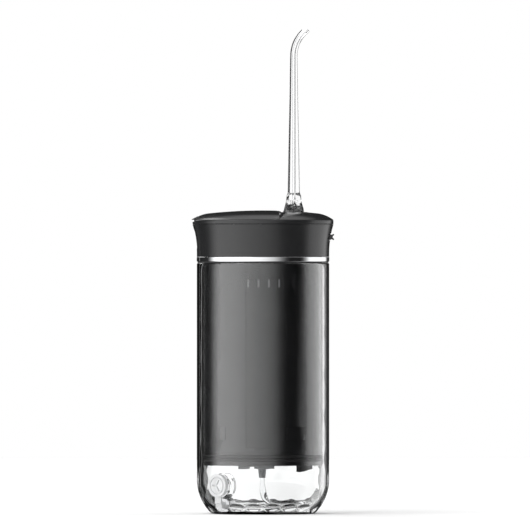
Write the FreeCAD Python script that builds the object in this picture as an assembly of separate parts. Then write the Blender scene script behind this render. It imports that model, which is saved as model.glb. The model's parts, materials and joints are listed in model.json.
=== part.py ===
import FreeCAD
import Part
import math
import os
from FreeCAD import Vector

# Pocket water flosser. Millimetres, +Z up, origin at the centre of the tank's base.
# The clear tank stands on the base. The main unit slides up out of it by TELESCOPE_TRAVEL.
# -Y is the front, with the control strip. The nozzle stands towards +X, the lid opens at -X.

# ---- Tank ----
TANK_R = 30.0
TANK_WALL = 2.7
TANK_RIM_Z = 113.6
TANK_CORNER_R = 21.3
TANK_CORNER_Z = 15.5
TANK_FLOOR = 2.2
TANK_FOOT_ROUND = 0.8

# ---- Fill plug, low on the front left of the tank ----
PORT_ANGLE = 40.3
PORT_Z = 13.1
PORT_BORE_R = 3.5
PORT_BOSS_R = 5.6
PORT_FACE = TANK_R + 0.3
PLUG_CAP_R = 5.2
PLUG_CAP_T = 2.0
PLUG_STEM_L = 2.5
PLUG_STEM_R = 3.4
PLUG_STEM_TIP_R = 2.9
PLUG_TAB_R = 3.55
PLUG_RING_W = 0.35
PLUG_RING_DEPTH = 0.6
PLUG_GROOVE_W = 0.6
STRAP_W = 3.6
STRAP_T = 1.0
STRAP_HINGE_Z = 5.4
STRAP_HINGE_R = 0.6

# ---- Main unit: inner body ----
TELESCOPE_TRAVEL = 70.0
BODY_R = TANK_R - TANK_WALL - 0.7
BODY_WALL = 1.6
BODY_FOOT_Z = 22.0
BODY_JOIN_Z = 28.0
BASE_FLOOR = 2.0
SEAL_SECTION_R = 0.7
SEAL_LOW_Z = 24.6
SEAL_PITCH = 1.5
SEAL_TANK_GAP = 0.1
STRIP_X_LOW = -7.5
STRIP_X_HIGH = 8.35
STRIP_Z_LOW = 29.7
STRIP_T = 0.9
WINDOW_W = 22.0
WINDOW_Z_LOW = 33.4
WINDOW_Z_HIGH = 39.7
WINDOW_DEPTH = 0.5
WINDOW_GROOVE_W = 0.3
WINDOW_RIGHT = 33.0
WINDOW_LEFT = -48.6
PIPE_COUNT = 4
PIPE_PITCH = 4.53
PIPE_FIRST_X = -6.5
BOARD_HALF_W = 8.4
BOARD_SETBACK = 1.6
PIPE_W = 0.8

# ---- Main unit: head ----
RING_R = TANK_R + 0.05
RING_Z = TANK_RIM_Z + 0.7
RING_H = 2.0
HEAD_GAP = 0.1
STRIP_Z_HIGH = RING_Z - 7.9
PIPE_Z_LOW = STRIP_Z_HIGH - 3.9
PIPE_Z_HIGH = STRIP_Z_HIGH - 0.3
HEAD_FOOT_R = TANK_R
HEAD_FLARE_Z = RING_Z + 3.7
HEAD_TOP_R = TANK_R + 1.95
HEAD_TOP_Z = RING_Z + 16.8
HEAD_WALL = 1.8
HEAD_FLOOR = 2.0
SKIRT_DEPTH = 7.0
SKIRT_T = 1.5
BAND_Z = HEAD_TOP_Z + 2.05
BAND_CHAMFER = 0.25
DOME_TOP_Z = BAND_Z + 4.3
DOME_BREAK_R = HEAD_TOP_R - 7.45
DOME_BREAK_Z = BAND_Z + 3.0
DOME_EDGE_R = HEAD_TOP_R
DOME_T = 1.5

# ---- Lid ----
HINGE_X = 7.4
HINGE_Z = DOME_TOP_Z - 1.6
HINGE_PIN_R = 0.5
LUG_R = 1.2
LUG_START = 8.2
LUG_LENGTH = 3.8
PIN_START = 5.6
PIN_LENGTH = 8.0
LID_GAP = 0.2
NOTCH_HALF = 7.6
NOTCH_X = 6.2
PLINTH_DRUM_R = 1.0
LIP_REACH = 0.45
LIP_HALF = 7.0
LIP_ROOT = 3.5
LIP_RISE = 1.55
LIP_LEDGE = 1.2
LIP_EDGE_T = 0.15

# ---- Nozzle and the turret it turns with ----
NOZZLE_X = 13.95
NOZZLE_FOOT_Z = HEAD_TOP_Z - 7.7
STEM_R = 3.0
GROOVE_R = 2.3
GROOVE_Z_LOW = NOZZLE_FOOT_Z + 1.1
GROOVE_Z_HIGH = GROOVE_Z_LOW + 1.8
COLLAR_R = 4.65
COLLAR_Z = NOZZLE_FOOT_Z + 4.6
COLLAR_TOP_Z = DOME_TOP_Z - 0.45
CONE_TOP_Z = COLLAR_TOP_Z + 8.0
SHAFT_R = 2.73
BEND_Z = CONE_TOP_Z + 62.5
BEND_TUBE_R = 1.65
BEND_R = 15.1
BEND_ANGLE = 47.0
TIP_LENGTH = 1.84
TIP_R = 1.38
NOZZLE_BORE_R = 0.5
TURRET_R = 6.2
TURRET_FLANGE_R = 7.4
TURRET_Z_LOW = HEAD_TOP_Z - 1.7
TURRET_TOP_Z = DOME_TOP_Z - 0.75
TURRET_COLLAR_T = 0.9
RUNNING_GAP = 0.05
PULL_TRAVEL = 15.0

# ---- Screws ----
SCREW_R = 1.0
SCREW_HEAD_R = 1.9
SCREW_HEAD_T = 1.0
BOSS_R = 2.4
WIRE_HOLE_R = 2.5
WIRE_HOLE_Y = 10.5

# ---- Storage compartment ----
WELL_X = -13.9
WELL_HALF_W = 5.1
WELL_STRAIGHT = 3.2
WELL_WALL = 0.8
WELL_FOOT_Z = 36.9

# ---- Release button, buttons, charging socket ----
RELEASE_Z = HEAD_TOP_Z - 5.7
RELEASE_H = 2.7
RELEASE_HALF_W = 4.5
RELEASE_TIP_X = HEAD_TOP_R + 0.25
RELEASE_TRAVEL = 0.8
LATCH_T = 1.2
LATCH_LEFT_X = 7.0
LATCH_RIGHT_X = 26.4
LATCH_HALF_W = 3.0
RELEASE_FLANGE_X = 24.0
SPRING_SEAT_X = 3.6
BUTTON_Z = HEAD_TOP_Z - 6.7
POWER_R = 4.4
MODE_R = 2.7
MODE_Y = 9.6
BUTTON_GAP = 0.3
BUTTON_TRAVEL = 0.5
SOCKET_Z = HEAD_TOP_Z - 6.9
SOCKET_W = 8.94
SOCKET_H = 3.16
COVER_W = 15.0
COVER_H = 7.4
COVER_T = 1.4
COVER_LEFT_X = -6.1
COVER_HINGE_X = -7.5
COVER_HINGE_Y = 28.9
COVER_HINGE_R = 0.5
COVER_HINGE_HALF = 1.5
COVER_GAP = 0.15

# ---- Drive ----
PISTON_Z = 28.1
BORE_R = 3.0
CYLINDER_WALL = 0.8
CRANK_X = -7.0
CRANK_THROW = 2.5
CRANK_PIN_R = 1.0
GEAR_MODULE = 0.5
GEAR_TEETH = 48
PINION_TEETH = 12
GEAR_Z = 32.2
GEAR_T = 2.4
PINION_SIDE_ANGLE = -50.0
FRAME_Z = 35.0
FRAME_T = 1.6
MOTOR_R = 10.2
MOTOR_L = 25.0
MOTOR_SHAFT_R = 0.75
MOTOR_NOSE_R = 3.1
MOTOR_SCREW_PITCH = 13.0
AXLE_R = 1.0
POST_R = 2.0
CELL_R = 9.1
CELL_L = 65.0
CELL_X = 1.5
CELL_Y = 13.6
CELL_Z = 42.0
TUBE_R = 2.2
TUBE_BORE_R = 1.2
DUCT_Y_LOW = 4.25

# ---- Under the inner body ----
SPIGOT_X = -0.46
SPIGOT_R = 1.65
SPIGOT_FOOT_Z = 16.3
PLATE_X_LOW = -11.0
PLATE_X_HIGH = 5.1
PLATE_Z = 20.4
PLATE_HALF_W = 5.0
VALVE_X_LOW = 15.0
VALVE_X_HIGH = 22.1
VALVE_HALF_W = 3.0
VALVE_LOW_Z = 18.9
VALVE_HIGH_Z = 20.2

# ---- Suction hose: it drops from the spigot and lies in one loop on the tank floor ----
HOSE_R = 1.2
HOSE_ROUTE = [
    (SPIGOT_X, 0.0, SPIGOT_FOOT_Z),
    (SPIGOT_X, 0.0, 9.2),
    (2.2, -4.9, 4.6),
    (9.2, -7.8, 4.1),
    (16.4, -5.2, 4.1),
    (19.9, 1.5, 4.1),
    (18.0, 9.1, 4.1),
    (11.6, 14.1, 4.1),
    (2.7, 15.4, 4.2),
    (-6.0, 13.1, 4.3),
    (-12.7, 7.0, 4.5),
    (-15.0, -0.1, 4.8),
]
WEIGHT_R = 2.5
WEIGHT_L = 7.0

# ---- Values that follow from those above ----
TANK_BORE_R = TANK_R - TANK_WALL
FOOT_FLAT_R = TANK_R - TANK_CORNER_R + math.sqrt(TANK_CORNER_R ** 2 - TANK_CORNER_Z ** 2)
BODY_BORE_R = BODY_R - BODY_WALL
HEAD_FOOT_Z = RING_Z + RING_H + HEAD_GAP
HEAD_FLOOR_TOP = HEAD_FOOT_Z + HEAD_FLOOR
SEAL_RING_R = TANK_BORE_R - SEAL_TANK_GAP - SEAL_SECTION_R
LID_SWEEP_R = DOME_TOP_Z - HINGE_Z
PIVOT_DISTANCE = GEAR_MODULE * (GEAR_TEETH + PINION_TEETH) / 2
MOTOR_X = CRANK_X + PIVOT_DISTANCE * math.cos(math.radians(PINION_SIDE_ANGLE))
MOTOR_Y = PIVOT_DISTANCE * math.sin(math.radians(PINION_SIDE_ANGLE))
FAR = 100.0


# ---------------------------------------------------------------- helpers
def disc(radius, z_low, z_high, x=0.0, y=0.0):
    return Part.makeCylinder(radius, z_high - z_low, Vector(x, y, z_low))


def ring(inner, outer, z_low, z_high, x=0.0, y=0.0):
    return disc(outer, z_low, z_high, x, y).cut(disc(inner, z_low - 1, z_high + 1, x, y))


def rod_along(axis, radius, low, high, across, z):
    """Round bar along X or Y: across is its place on the other level axis."""
    if axis == "x":
        return Part.makeCylinder(radius, high - low, Vector(low, across, z), Vector(1, 0, 0))
    return Part.makeCylinder(radius, high - low, Vector(across, low, z), Vector(0, 1, 0))


def block(x_low, x_high, y_low, y_high, z_low, z_high):
    size = (x_high - x_low, y_high - y_low, z_high - z_low)
    return Part.makeBox(*size, Vector(x_low, y_low, z_low))


def stadium(half_width, straight, z_low, z_high, x):
    """Upright prism with round ends, longer along X."""
    solid = block(x - straight / 2, x + straight / 2, -half_width, half_width, z_low, z_high)
    for side in (-1, 1):
        solid = solid.fuse(disc(half_width, z_low, z_high, x + side * straight / 2))
    return solid.removeSplitter()


def line(start, end):
    return Part.LineSegment(Vector(start[0], 0, start[1]), Vector(end[0], 0, end[1])).toShape()


def arc(start, middle, end):
    points = [Vector(p[0], 0, p[1]) for p in (start, middle, end)]
    return Part.Arc(*points).toShape()


def turned(edges):
    """Full turn about Z of a closed outline in the XZ plane."""
    face = Part.Face(Part.Wire(edges))
    solid = face.revolve(Vector(0, 0, 0), Vector(0, 0, 1), 360)
    return solid if solid.Volume > 0 else solid.reversed()


def turned_polygon(points):
    closed = points + points[:1]
    return turned([line(a, b) for a, b in zip(closed, closed[1:])])


def moved(shape, x, y, z=0.0):
    copy = shape.copy()
    copy.translate(Vector(x, y, z))
    return copy


def turned_by(shape, degrees):
    copy = shape.copy()
    copy.rotate(Vector(0, 0, 0), Vector(0, 0, 1), degrees)
    return copy


def save(name, shape):
    os.makedirs("parts", exist_ok=True)
    shape.exportStep("parts/" + name + ".step")
    solids = shape.Solids
    volume = sum(s.Volume for s in solids)
    print(f"{name}: {len(solids)} solid(s), {volume:.1f} mm3, valid {shape.isValid()}")


def group(solids):
    return Part.makeCompound(solids)


def coil_spring(radius, wire_radius, length, turns):
    """Helix along Z from z = 0, with its wire inside the given length."""
    pitch = (length - 2 * wire_radius) / turns
    path = Part.Wire(Part.makeHelix(pitch, pitch * turns, radius).Edges)
    section = Part.makeCircle(wire_radius, Vector(radius, 0, 0), Vector(0, 1, 0))
    coil = path.makePipeShell([Part.Wire(section)], True, True)
    return moved(coil, 0, 0, wire_radius)


def spur_gear(teeth, addendum, dedendum, thickness_share, z_low, z_high):
    """Straight teeth with three points on each involute flank."""
    pitch_r = GEAR_MODULE * teeth / 2
    base_r = pitch_r * math.cos(math.radians(20))
    root_r = pitch_r - dedendum
    tip_r = pitch_r + addendum

    def involute(radius):
        cosine = min(1.0, base_r / radius)
        angle = math.acos(cosine)
        return math.tan(angle) - angle

    half_pitch = thickness_share * math.pi / teeth
    points = []
    for tooth in range(teeth):
        centre = 2 * math.pi * tooth / teeth
        half = [half_pitch + involute(pitch_r) - involute(r) for r in (root_r, pitch_r, tip_r)]
        flank = list(zip((root_r, pitch_r, tip_r), half))
        for radius, angle in flank:
            points.append((radius, centre - angle))
        for radius, angle in reversed(flank):
            points.append((radius, centre + angle))
    corners = [Vector(r * math.cos(a), r * math.sin(a), z_low) for r, a in points]
    face = Part.Face(Part.makePolygon(corners + corners[:1]))
    return face.extrude(Vector(0, 0, z_high - z_low))


# ---------------------------------------------------------------- outlines of the body of turn
def corner_point(radius, z):
    """Point at height z on the tank's rounded corner of the given radius."""
    centre_r = TANK_R - TANK_CORNER_R
    return (centre_r + math.sqrt(radius ** 2 - (TANK_CORNER_Z - z) ** 2), z)


def corner_middle(radius, z):
    centre_r = TANK_R - TANK_CORNER_R
    angle = math.asin((TANK_CORNER_Z - z) / radius) / 2
    return (centre_r + radius * math.cos(angle), TANK_CORNER_Z - radius * math.sin(angle))


def tank_outside(z_top):
    foot = corner_point(TANK_CORNER_R, 0)
    side = (TANK_R, TANK_CORNER_Z)
    edges = [line((0, 0), foot), arc(foot, corner_middle(TANK_CORNER_R, 0), side)]
    edges += [line(side, (TANK_R, z_top)), line((TANK_R, z_top), (0, z_top)), line((0, z_top), (0, 0))]
    return turned(edges)


def tank_inside(z_top):
    radius = TANK_CORNER_R - TANK_WALL
    foot = corner_point(radius, TANK_FLOOR)
    side = (TANK_BORE_R, TANK_CORNER_Z)
    edges = [line((0, TANK_FLOOR), foot), arc(foot, corner_middle(radius, TANK_FLOOR), side)]
    edges += [line(side, (TANK_BORE_R, z_top)), line((TANK_BORE_R, z_top), (0, z_top))]
    edges += [line((0, z_top), (0, TANK_FLOOR))]
    return turned(edges)


def flare_radius():
    """Radius of the head's hollow flare, upright at its foot."""
    rise = HEAD_TOP_Z - HEAD_FLARE_Z
    run = HEAD_TOP_R - HEAD_FOOT_R
    return (rise ** 2 + run ** 2) / (2 * run)


def flare_point(z, inset=0.0):
    radius = flare_radius()
    lift = max(0.0, z - HEAD_FLARE_Z)
    return (HEAD_FOOT_R + radius - math.sqrt(radius ** 2 - lift ** 2) - inset, z)


def head_core(inset, z_low, z_high):
    """Solid inside the head's outer surface, set in by the given amount."""
    middle_z = (max(z_low, HEAD_FLARE_Z) + z_high) / 2
    low = flare_point(z_low, inset)
    start = flare_point(max(z_low, HEAD_FLARE_Z), inset)
    top = flare_point(z_high, inset)
    edges = [line((0, z_low), low)]
    if z_low < HEAD_FLARE_Z:
        edges.append(line(low, start))
    edges += [arc(start, flare_point(middle_z, inset), top), line(top, (0, z_high))]
    edges.append(line((0, z_high), (0, z_low)))
    return turned(edges)


def dome_core(inset, z_low=BAND_Z):
    """Solid under the head's dome: a flat arc, then a tighter one down to the band."""
    big_r = (DOME_BREAK_R ** 2 + (DOME_TOP_Z - DOME_BREAK_Z) ** 2) / (2 * (DOME_TOP_Z - DOME_BREAK_Z))
    big_z = DOME_TOP_Z - big_r
    lean = math.asin(DOME_BREAK_R / big_r)
    fall = DOME_BREAK_Z - BAND_Z
    reach = DOME_EDGE_R - DOME_BREAK_R
    edge_r = (reach ** 2 + fall ** 2) / (2 * (fall * math.cos(lean) - reach * math.sin(lean)))
    edge_centre_r = DOME_BREAK_R - edge_r * math.sin(lean)
    edge_centre_z = DOME_BREAK_Z - edge_r * math.cos(lean)

    def on_big(angle):
        return ((big_r - inset) * math.sin(angle), big_z + (big_r - inset) * math.cos(angle))

    def on_edge(angle):
        radius = edge_r - inset
        return (edge_centre_r + radius * math.sin(angle), edge_centre_z + radius * math.cos(angle))

    foot_lean = math.acos((z_low - edge_centre_z) / (edge_r - inset))
    edges = [arc(on_big(0), on_big(lean / 2), on_big(lean))]
    edges.append(arc(on_edge(lean), on_edge((lean + foot_lean) / 2), on_edge(foot_lean)))
    edges += [line(on_edge(foot_lean), (0, z_low)), line((0, z_low), on_big(0))]
    return turned(edges)


# ---------------------------------------------------------------- tank and fill plug
def port_rod(radius, start, end, z=PORT_Z, end_radius=None):
    """Round bar or cone along the fill port's axis, from start to end out from the tank's axis."""
    angle = math.radians(PORT_ANGLE)
    outward = Vector(-math.sin(angle), -math.cos(angle), 0)
    origin = outward * start + Vector(0, 0, z)
    if end_radius is None:
        return Part.makeCylinder(radius, end - start, origin, outward)
    return Part.makeCone(radius, end_radius, end - start, origin, outward)


def port_block(half_width, start, end, z_low, z_high):
    """Block square to the fill port's axis."""
    solid = block(-half_width, half_width, -end, -start, z_low, z_high)
    return turned_by(solid, -PORT_ANGLE)


def water_tank():
    shell = tank_outside(TANK_RIM_Z)
    foot_edges = [e for e in shell.Edges if abs(e.BoundBox.ZMax) < 0.01 and e.BoundBox.XLength > TANK_R]
    shell = shell.makeFillet(TANK_FOOT_ROUND, foot_edges)
    shell = shell.fuse(port_rod(PORT_BOSS_R, TANK_BORE_R - TANK_WALL, PORT_FACE))
    shell = shell.cut(tank_inside(TANK_RIM_Z + 1))
    return shell.cut(port_rod(PORT_BORE_R, TANK_BORE_R - TANK_WALL - 1, PORT_FACE + 1)).removeSplitter()


def strap_hinge_out():
    return PORT_FACE + STRAP_T / 2 + 0.2


def fill_plug():
    """Cap with a stem, a sunk ring, three grooves for the finger and a strap down to the hinge."""
    face = PORT_FACE + RUNNING_GAP
    outside = face + PLUG_CAP_T
    plug = port_rod(PLUG_CAP_R, face, outside)
    plug = plug.cut(port_rod(PLUG_TAB_R + PLUG_RING_W, outside - PLUG_RING_DEPTH, outside + 1))
    plug = plug.fuse(port_rod(PLUG_TAB_R, face, outside))
    plug = plug.fuse(port_rod(PLUG_STEM_TIP_R, face - PLUG_STEM_L, face, end_radius=PLUG_STEM_R))
    angle = math.radians(PORT_ANGLE)
    outward = Vector(-math.sin(angle), -math.cos(angle), 0)
    for turn in (90, 210, 330):
        groove = port_block(PLUG_GROOVE_W / 2, outside - PLUG_RING_DEPTH, outside + 1, PORT_Z,
                            PORT_Z + PLUG_TAB_R * 0.8)
        groove.rotate(Vector(0, 0, PORT_Z), outward, turn)
        plug = plug.cut(groove)
    out = strap_hinge_out()
    top = PORT_Z - PLUG_CAP_R + 0.8
    strap = port_block(STRAP_W / 2, out - STRAP_T / 2, out + STRAP_T / 2, STRAP_HINGE_Z, top)
    return plug.fuse(strap).cut(hinge_bead(STRAP_HINGE_R + RUNNING_GAP, STRAP_W)).removeSplitter()


def hinge_bead(radius, half_length):
    """Bar along the plug's hinge line."""
    bead = rod_along("x", radius, -half_length, half_length, -strap_hinge_out(), STRAP_HINGE_Z)
    return turned_by(bead, -PORT_ANGLE)


def strap_anchor():
    """Bead of the living hinge on a foot that is bonded to the tank."""
    half = STRAP_W / 2
    out = strap_hinge_out()
    foot_z = STRAP_HINGE_Z - 2.6
    foot = port_block(half, TANK_R - 6, out, foot_z, STRAP_HINGE_Z - STRAP_HINGE_R - 0.3)
    neck = port_block(half, TANK_R - 2, out - RUNNING_GAP, foot_z + 1, STRAP_HINGE_Z + 0.2)
    solid = hinge_bead(STRAP_HINGE_R, half).fuse([foot, neck])
    return solid.cut(tank_outside(TANK_RIM_Z)).removeSplitter()


# ---------------------------------------------------------------- inner body
def body_sleeve():
    sleeve = ring(BODY_BORE_R, BODY_R, BODY_JOIN_Z, HEAD_FOOT_Z)
    sleeve = sleeve.cut(strip_space(0.0))
    for angle in (WINDOW_RIGHT, WINDOW_LEFT):
        sleeve = sleeve.cut(window_groove(angle))
    for slot in light_slots(-BODY_BORE_R + 3):
        sleeve = sleeve.cut(slot)
    return sleeve


def window_groove(angle):
    """Fine groove round a flush window of the sleeve, at an angle from the front."""
    half_w = BODY_R * math.radians(WINDOW_W / 2)
    rim = block(-half_w, half_w, -BODY_R - 1, 0, WINDOW_Z_LOW, WINDOW_Z_HIGH)
    inner_w = half_w - WINDOW_GROOVE_W
    rim = rim.cut(block(-inner_w, inner_w, -BODY_R - 1, 0, WINDOW_Z_LOW + WINDOW_GROOVE_W,
                        WINDOW_Z_HIGH - WINDOW_GROOVE_W))
    rim = rim.cut(disc(BODY_R - WINDOW_DEPTH, WINDOW_Z_LOW - 1, WINDOW_Z_HIGH + 1))
    return turned_by(rim, angle)


def strip_space(gap):
    """Shallow recess on the front that holds the strip; gap shrinks it all round."""
    space = block(STRIP_X_LOW + gap, STRIP_X_HIGH - gap, -BODY_R - 1, 0, STRIP_Z_LOW + gap, STRIP_Z_HIGH - gap)
    return space.cut(disc(BODY_R - STRIP_T, STRIP_Z_LOW - 1, STRIP_Z_HIGH + 1))


def light_slots(y_back):
    """Upright slots through the front wall, one for each light pipe."""
    slots = []
    for index in range(PIPE_COUNT):
        x = PIPE_FIRST_X + index * PIPE_PITCH
        slots.append(block(x - PIPE_W / 2, x + PIPE_W / 2, -BODY_R - 1, y_back, PIPE_Z_LOW, PIPE_Z_HIGH))
    return slots


def indicator_panel():
    panel = strip_space(0.08).common(disc(BODY_R - 0.04, STRIP_Z_LOW - 1, STRIP_Z_HIGH + 1))
    for slot in light_slots(0):
        panel = panel.cut(slot)
    return panel


def light_pipes():
    inside = disc(BODY_R - 0.1, PIPE_Z_LOW, PIPE_Z_HIGH)
    return group([slot.common(inside) for slot in light_slots(-BODY_BORE_R + BOARD_SETBACK)])


def indicator_board():
    front = -BODY_BORE_R + BOARD_SETBACK
    return block(-BOARD_HALF_W, BOARD_HALF_W, front, front + 1.0, PIPE_Z_LOW - 6, PIPE_Z_HIGH + 1.5)


def base_cap():
    cap = disc(BODY_R - 0.1, BODY_FOOT_Z, BODY_JOIN_Z)
    cap = cap.fuse(disc(BODY_BORE_R - 0.05, BODY_JOIN_Z, BODY_JOIN_Z + 3.5))
    cap = cap.cut(disc(BODY_BORE_R - SKIRT_T, BODY_FOOT_Z + BASE_FLOOR, BODY_JOIN_Z + 4))
    for index in range(2):
        z = SEAL_LOW_Z + index * SEAL_PITCH
        groove = ring(SEAL_RING_R - SEAL_SECTION_R, BODY_R + 1, z - SEAL_SECTION_R, z + SEAL_SECTION_R)
        cap = cap.cut(groove)
    for x, y in frame_posts():
        cap = cap.cut(disc(SCREW_HEAD_R + 0.3, BODY_FOOT_Z - 1, BODY_FOOT_Z + SCREW_HEAD_T + 0.2, x, y))
        cap = cap.cut(disc(SCREW_R + 0.05, BODY_FOOT_Z - 1, BODY_FOOT_Z + 3, x, y))
    cap = cap.cut(disc(TUBE_BORE_R, BODY_FOOT_Z - 1, BODY_FOOT_Z + 3, SPIGOT_X))
    valve_x = (VALVE_X_LOW + VALVE_X_HIGH) / 2
    return cap.cut(disc(1.0, BODY_FOOT_Z - 1, BODY_FOOT_Z + 3, valve_x)).removeSplitter()


def body_seals():
    rings = []
    for index in range(2):
        z = SEAL_LOW_Z + index * SEAL_PITCH
        rings.append(Part.makeTorus(SEAL_RING_R, SEAL_SECTION_R, Vector(0, 0, z)))
    return group(rings)


def screw(length, x, y, z_head, down=False):
    """Small pan screw with a straight slot; its shank goes up unless down is set."""
    head = disc(SCREW_HEAD_R, 0, SCREW_HEAD_T).cut(block(-1.2, 1.2, -0.25, 0.25, -1, 0.5))
    solid = head.fuse(disc(SCREW_R, SCREW_HEAD_T, SCREW_HEAD_T + length))
    if down:
        solid.rotate(Vector(0, 0, 0), Vector(1, 0, 0), 180)
    return moved(solid.removeSplitter(), x, y, z_head)


def base_screws():
    return group([screw(6.0, x, y, BODY_FOOT_Z + 0.2) for x, y in frame_posts()])


def inlet_fitting():
    plate = block(PLATE_X_LOW, PLATE_X_HIGH, -PLATE_HALF_W, PLATE_HALF_W, PLATE_Z, BODY_FOOT_Z)
    notch = block(-5.9, -4.1, -PLATE_HALF_W - 1, PLATE_HALF_W + 1, PLATE_Z - 1, PLATE_Z + 0.9)
    spigot = disc(SPIGOT_R, SPIGOT_FOOT_Z, PLATE_Z + 0.5, SPIGOT_X)
    fitting = plate.cut(notch).fuse(spigot)
    return fitting.cut(disc(0.8, SPIGOT_FOOT_Z - 1, BODY_FOOT_Z + 1, SPIGOT_X)).removeSplitter()


def air_valve():
    half = VALVE_HALF_W
    outline = [(VALVE_X_LOW, BODY_FOOT_Z), (VALVE_X_LOW, VALVE_LOW_Z), (VALVE_X_LOW + 1.6, VALVE_LOW_Z)]
    outline += [(VALVE_X_HIGH, VALVE_HIGH_Z), (VALVE_X_HIGH, BODY_FOOT_Z)]
    corners = [Vector(x, -half, z) for x, z in outline]
    solid = Part.Face(Part.makePolygon(corners + corners[:1])).extrude(Vector(0, 2 * half, 0))
    middle = (VALVE_X_LOW + VALVE_X_HIGH) / 2
    return solid.cut(disc(0.9, VALVE_LOW_Z + 1.2, BODY_FOOT_Z + 1, middle))


# ---------------------------------------------------------------- head
def rim_gasket():
    return ring(BODY_R + RUNNING_GAP, RING_R - 0.35, TANK_RIM_Z + RUNNING_GAP, RING_Z)


def trim_ring():
    profile = ring(BODY_R + RUNNING_GAP, RING_R, RING_Z, RING_Z + RING_H)
    outer = [e for e in profile.Edges if abs(e.BoundBox.XMax - RING_R) < 0.01 and e.BoundBox.ZLength < 0.01]
    return profile.makeFillet(0.35, outer)


def head_housing():
    """Flared shell with a floor, and a skirt that plugs into the inner body."""
    shell = head_core(0, HEAD_FOOT_Z, HEAD_TOP_Z).cut(head_core(HEAD_WALL, HEAD_FLOOR_TOP, HEAD_TOP_Z))
    skirt_r = BODY_BORE_R - RUNNING_GAP
    shell = shell.fuse(ring(skirt_r - SKIRT_T, skirt_r, HEAD_FOOT_Z - SKIRT_DEPTH, HEAD_FOOT_Z + 0.5))
    low, high = HEAD_FOOT_Z - 1, HEAD_FLOOR_TOP + 1
    shell = shell.cut(stadium(WELL_HALF_W + WELL_WALL + 0.1, WELL_STRAIGHT, low, high, WELL_X))
    shell = shell.cut(disc(TUBE_R + 0.2, low, high, NOZZLE_X))
    shell = shell.cut(disc(WIRE_HOLE_R, low, high, 0, WIRE_HOLE_Y))
    shell = shell.cut(release_space(0.2))
    shell = shell.cut(rod_along("x", POWER_R + BUTTON_GAP, -FAR, -20, 0, BUTTON_Z))
    shell = shell.cut(rod_along("x", MODE_R + BUTTON_GAP, -FAR, -20, MODE_Y, BUTTON_Z))
    half_w, half_h = SOCKET_W / 2 + 0.2, SOCKET_H / 2 + 0.2
    shell = shell.cut(block(-half_w, half_w, 20, FAR, SOCKET_Z - half_h, SOCKET_Z + half_h))
    shell = shell.cut([cover_space(COVER_GAP), cover_knuckle(COVER_GAP), cover_way_out()])
    for x, y in deck_screw_places():
        shell = shell.fuse(disc(BOSS_R, HEAD_FLOOR_TOP - 0.5, HEAD_TOP_Z - 0.05, x, y))
        shell = shell.cut(disc(SCREW_R, HEAD_FLOOR_TOP + 3, HEAD_TOP_Z + 1, x, y))
    return shell.removeSplitter()


def deck_screw_places():
    return [(x, side * y) for x, y in ((-14.0, 19.0), (-1.5, 16.8)) for side in (-1, 1)]


def release_space(gap):
    half = RELEASE_HALF_W + gap
    return block(20, FAR, -half, half, RELEASE_Z - RELEASE_H / 2 - gap, RELEASE_Z + RELEASE_H / 2 + gap)


def cover_space(gap):
    """Shallow seat for the socket's cover on the back of the head."""
    outer = block(COVER_LEFT_X - gap, COVER_W / 2 + gap, 0, FAR, SOCKET_Z - COVER_H / 2 - gap,
                  SOCKET_Z + COVER_H / 2 + gap)
    return outer.cut(head_core(COVER_T - 0.2 + gap, SOCKET_Z - COVER_H, SOCKET_Z + COVER_H * 0.9))


def cover_knuckle(gap):
    """Bead at the cover's left end, with the short neck that joins it to the flap."""
    low, high = SOCKET_Z - COVER_HINGE_HALF - gap, SOCKET_Z + COVER_HINGE_HALF + gap
    bead = disc(COVER_HINGE_R + gap, low, high, COVER_HINGE_X, COVER_HINGE_Y)
    neck_half = COVER_HINGE_R * 0.7 + gap
    neck = block(COVER_HINGE_X, COVER_LEFT_X + 0.5, COVER_HINGE_Y - neck_half, COVER_HINGE_Y + neck_half, low, high)
    return bead.fuse(neck)


def cover_way_out():
    """Room that the neck of the cover needs as it swings outwards."""
    half_h = COVER_H / 2 + COVER_GAP
    return block(COVER_HINGE_X - COVER_HINGE_R - COVER_GAP, COVER_LEFT_X, COVER_HINGE_Y, FAR,
                 SOCKET_Z - half_h, SOCKET_Z + half_h)


def hinge_drum(radius, y_low=-FAR, y_high=FAR):
    """Bar along the lid's hinge line."""
    return rod_along("y", radius, y_low, y_high, HINGE_X, HINGE_Z)


def lug_spans(gap):
    """Both stretches of the hinge line that the deck's lugs take up, widened by gap."""
    low, high = LUG_START - gap, LUG_START + LUG_LENGTH + gap
    return [(-high, -low), (low, high)]


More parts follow.
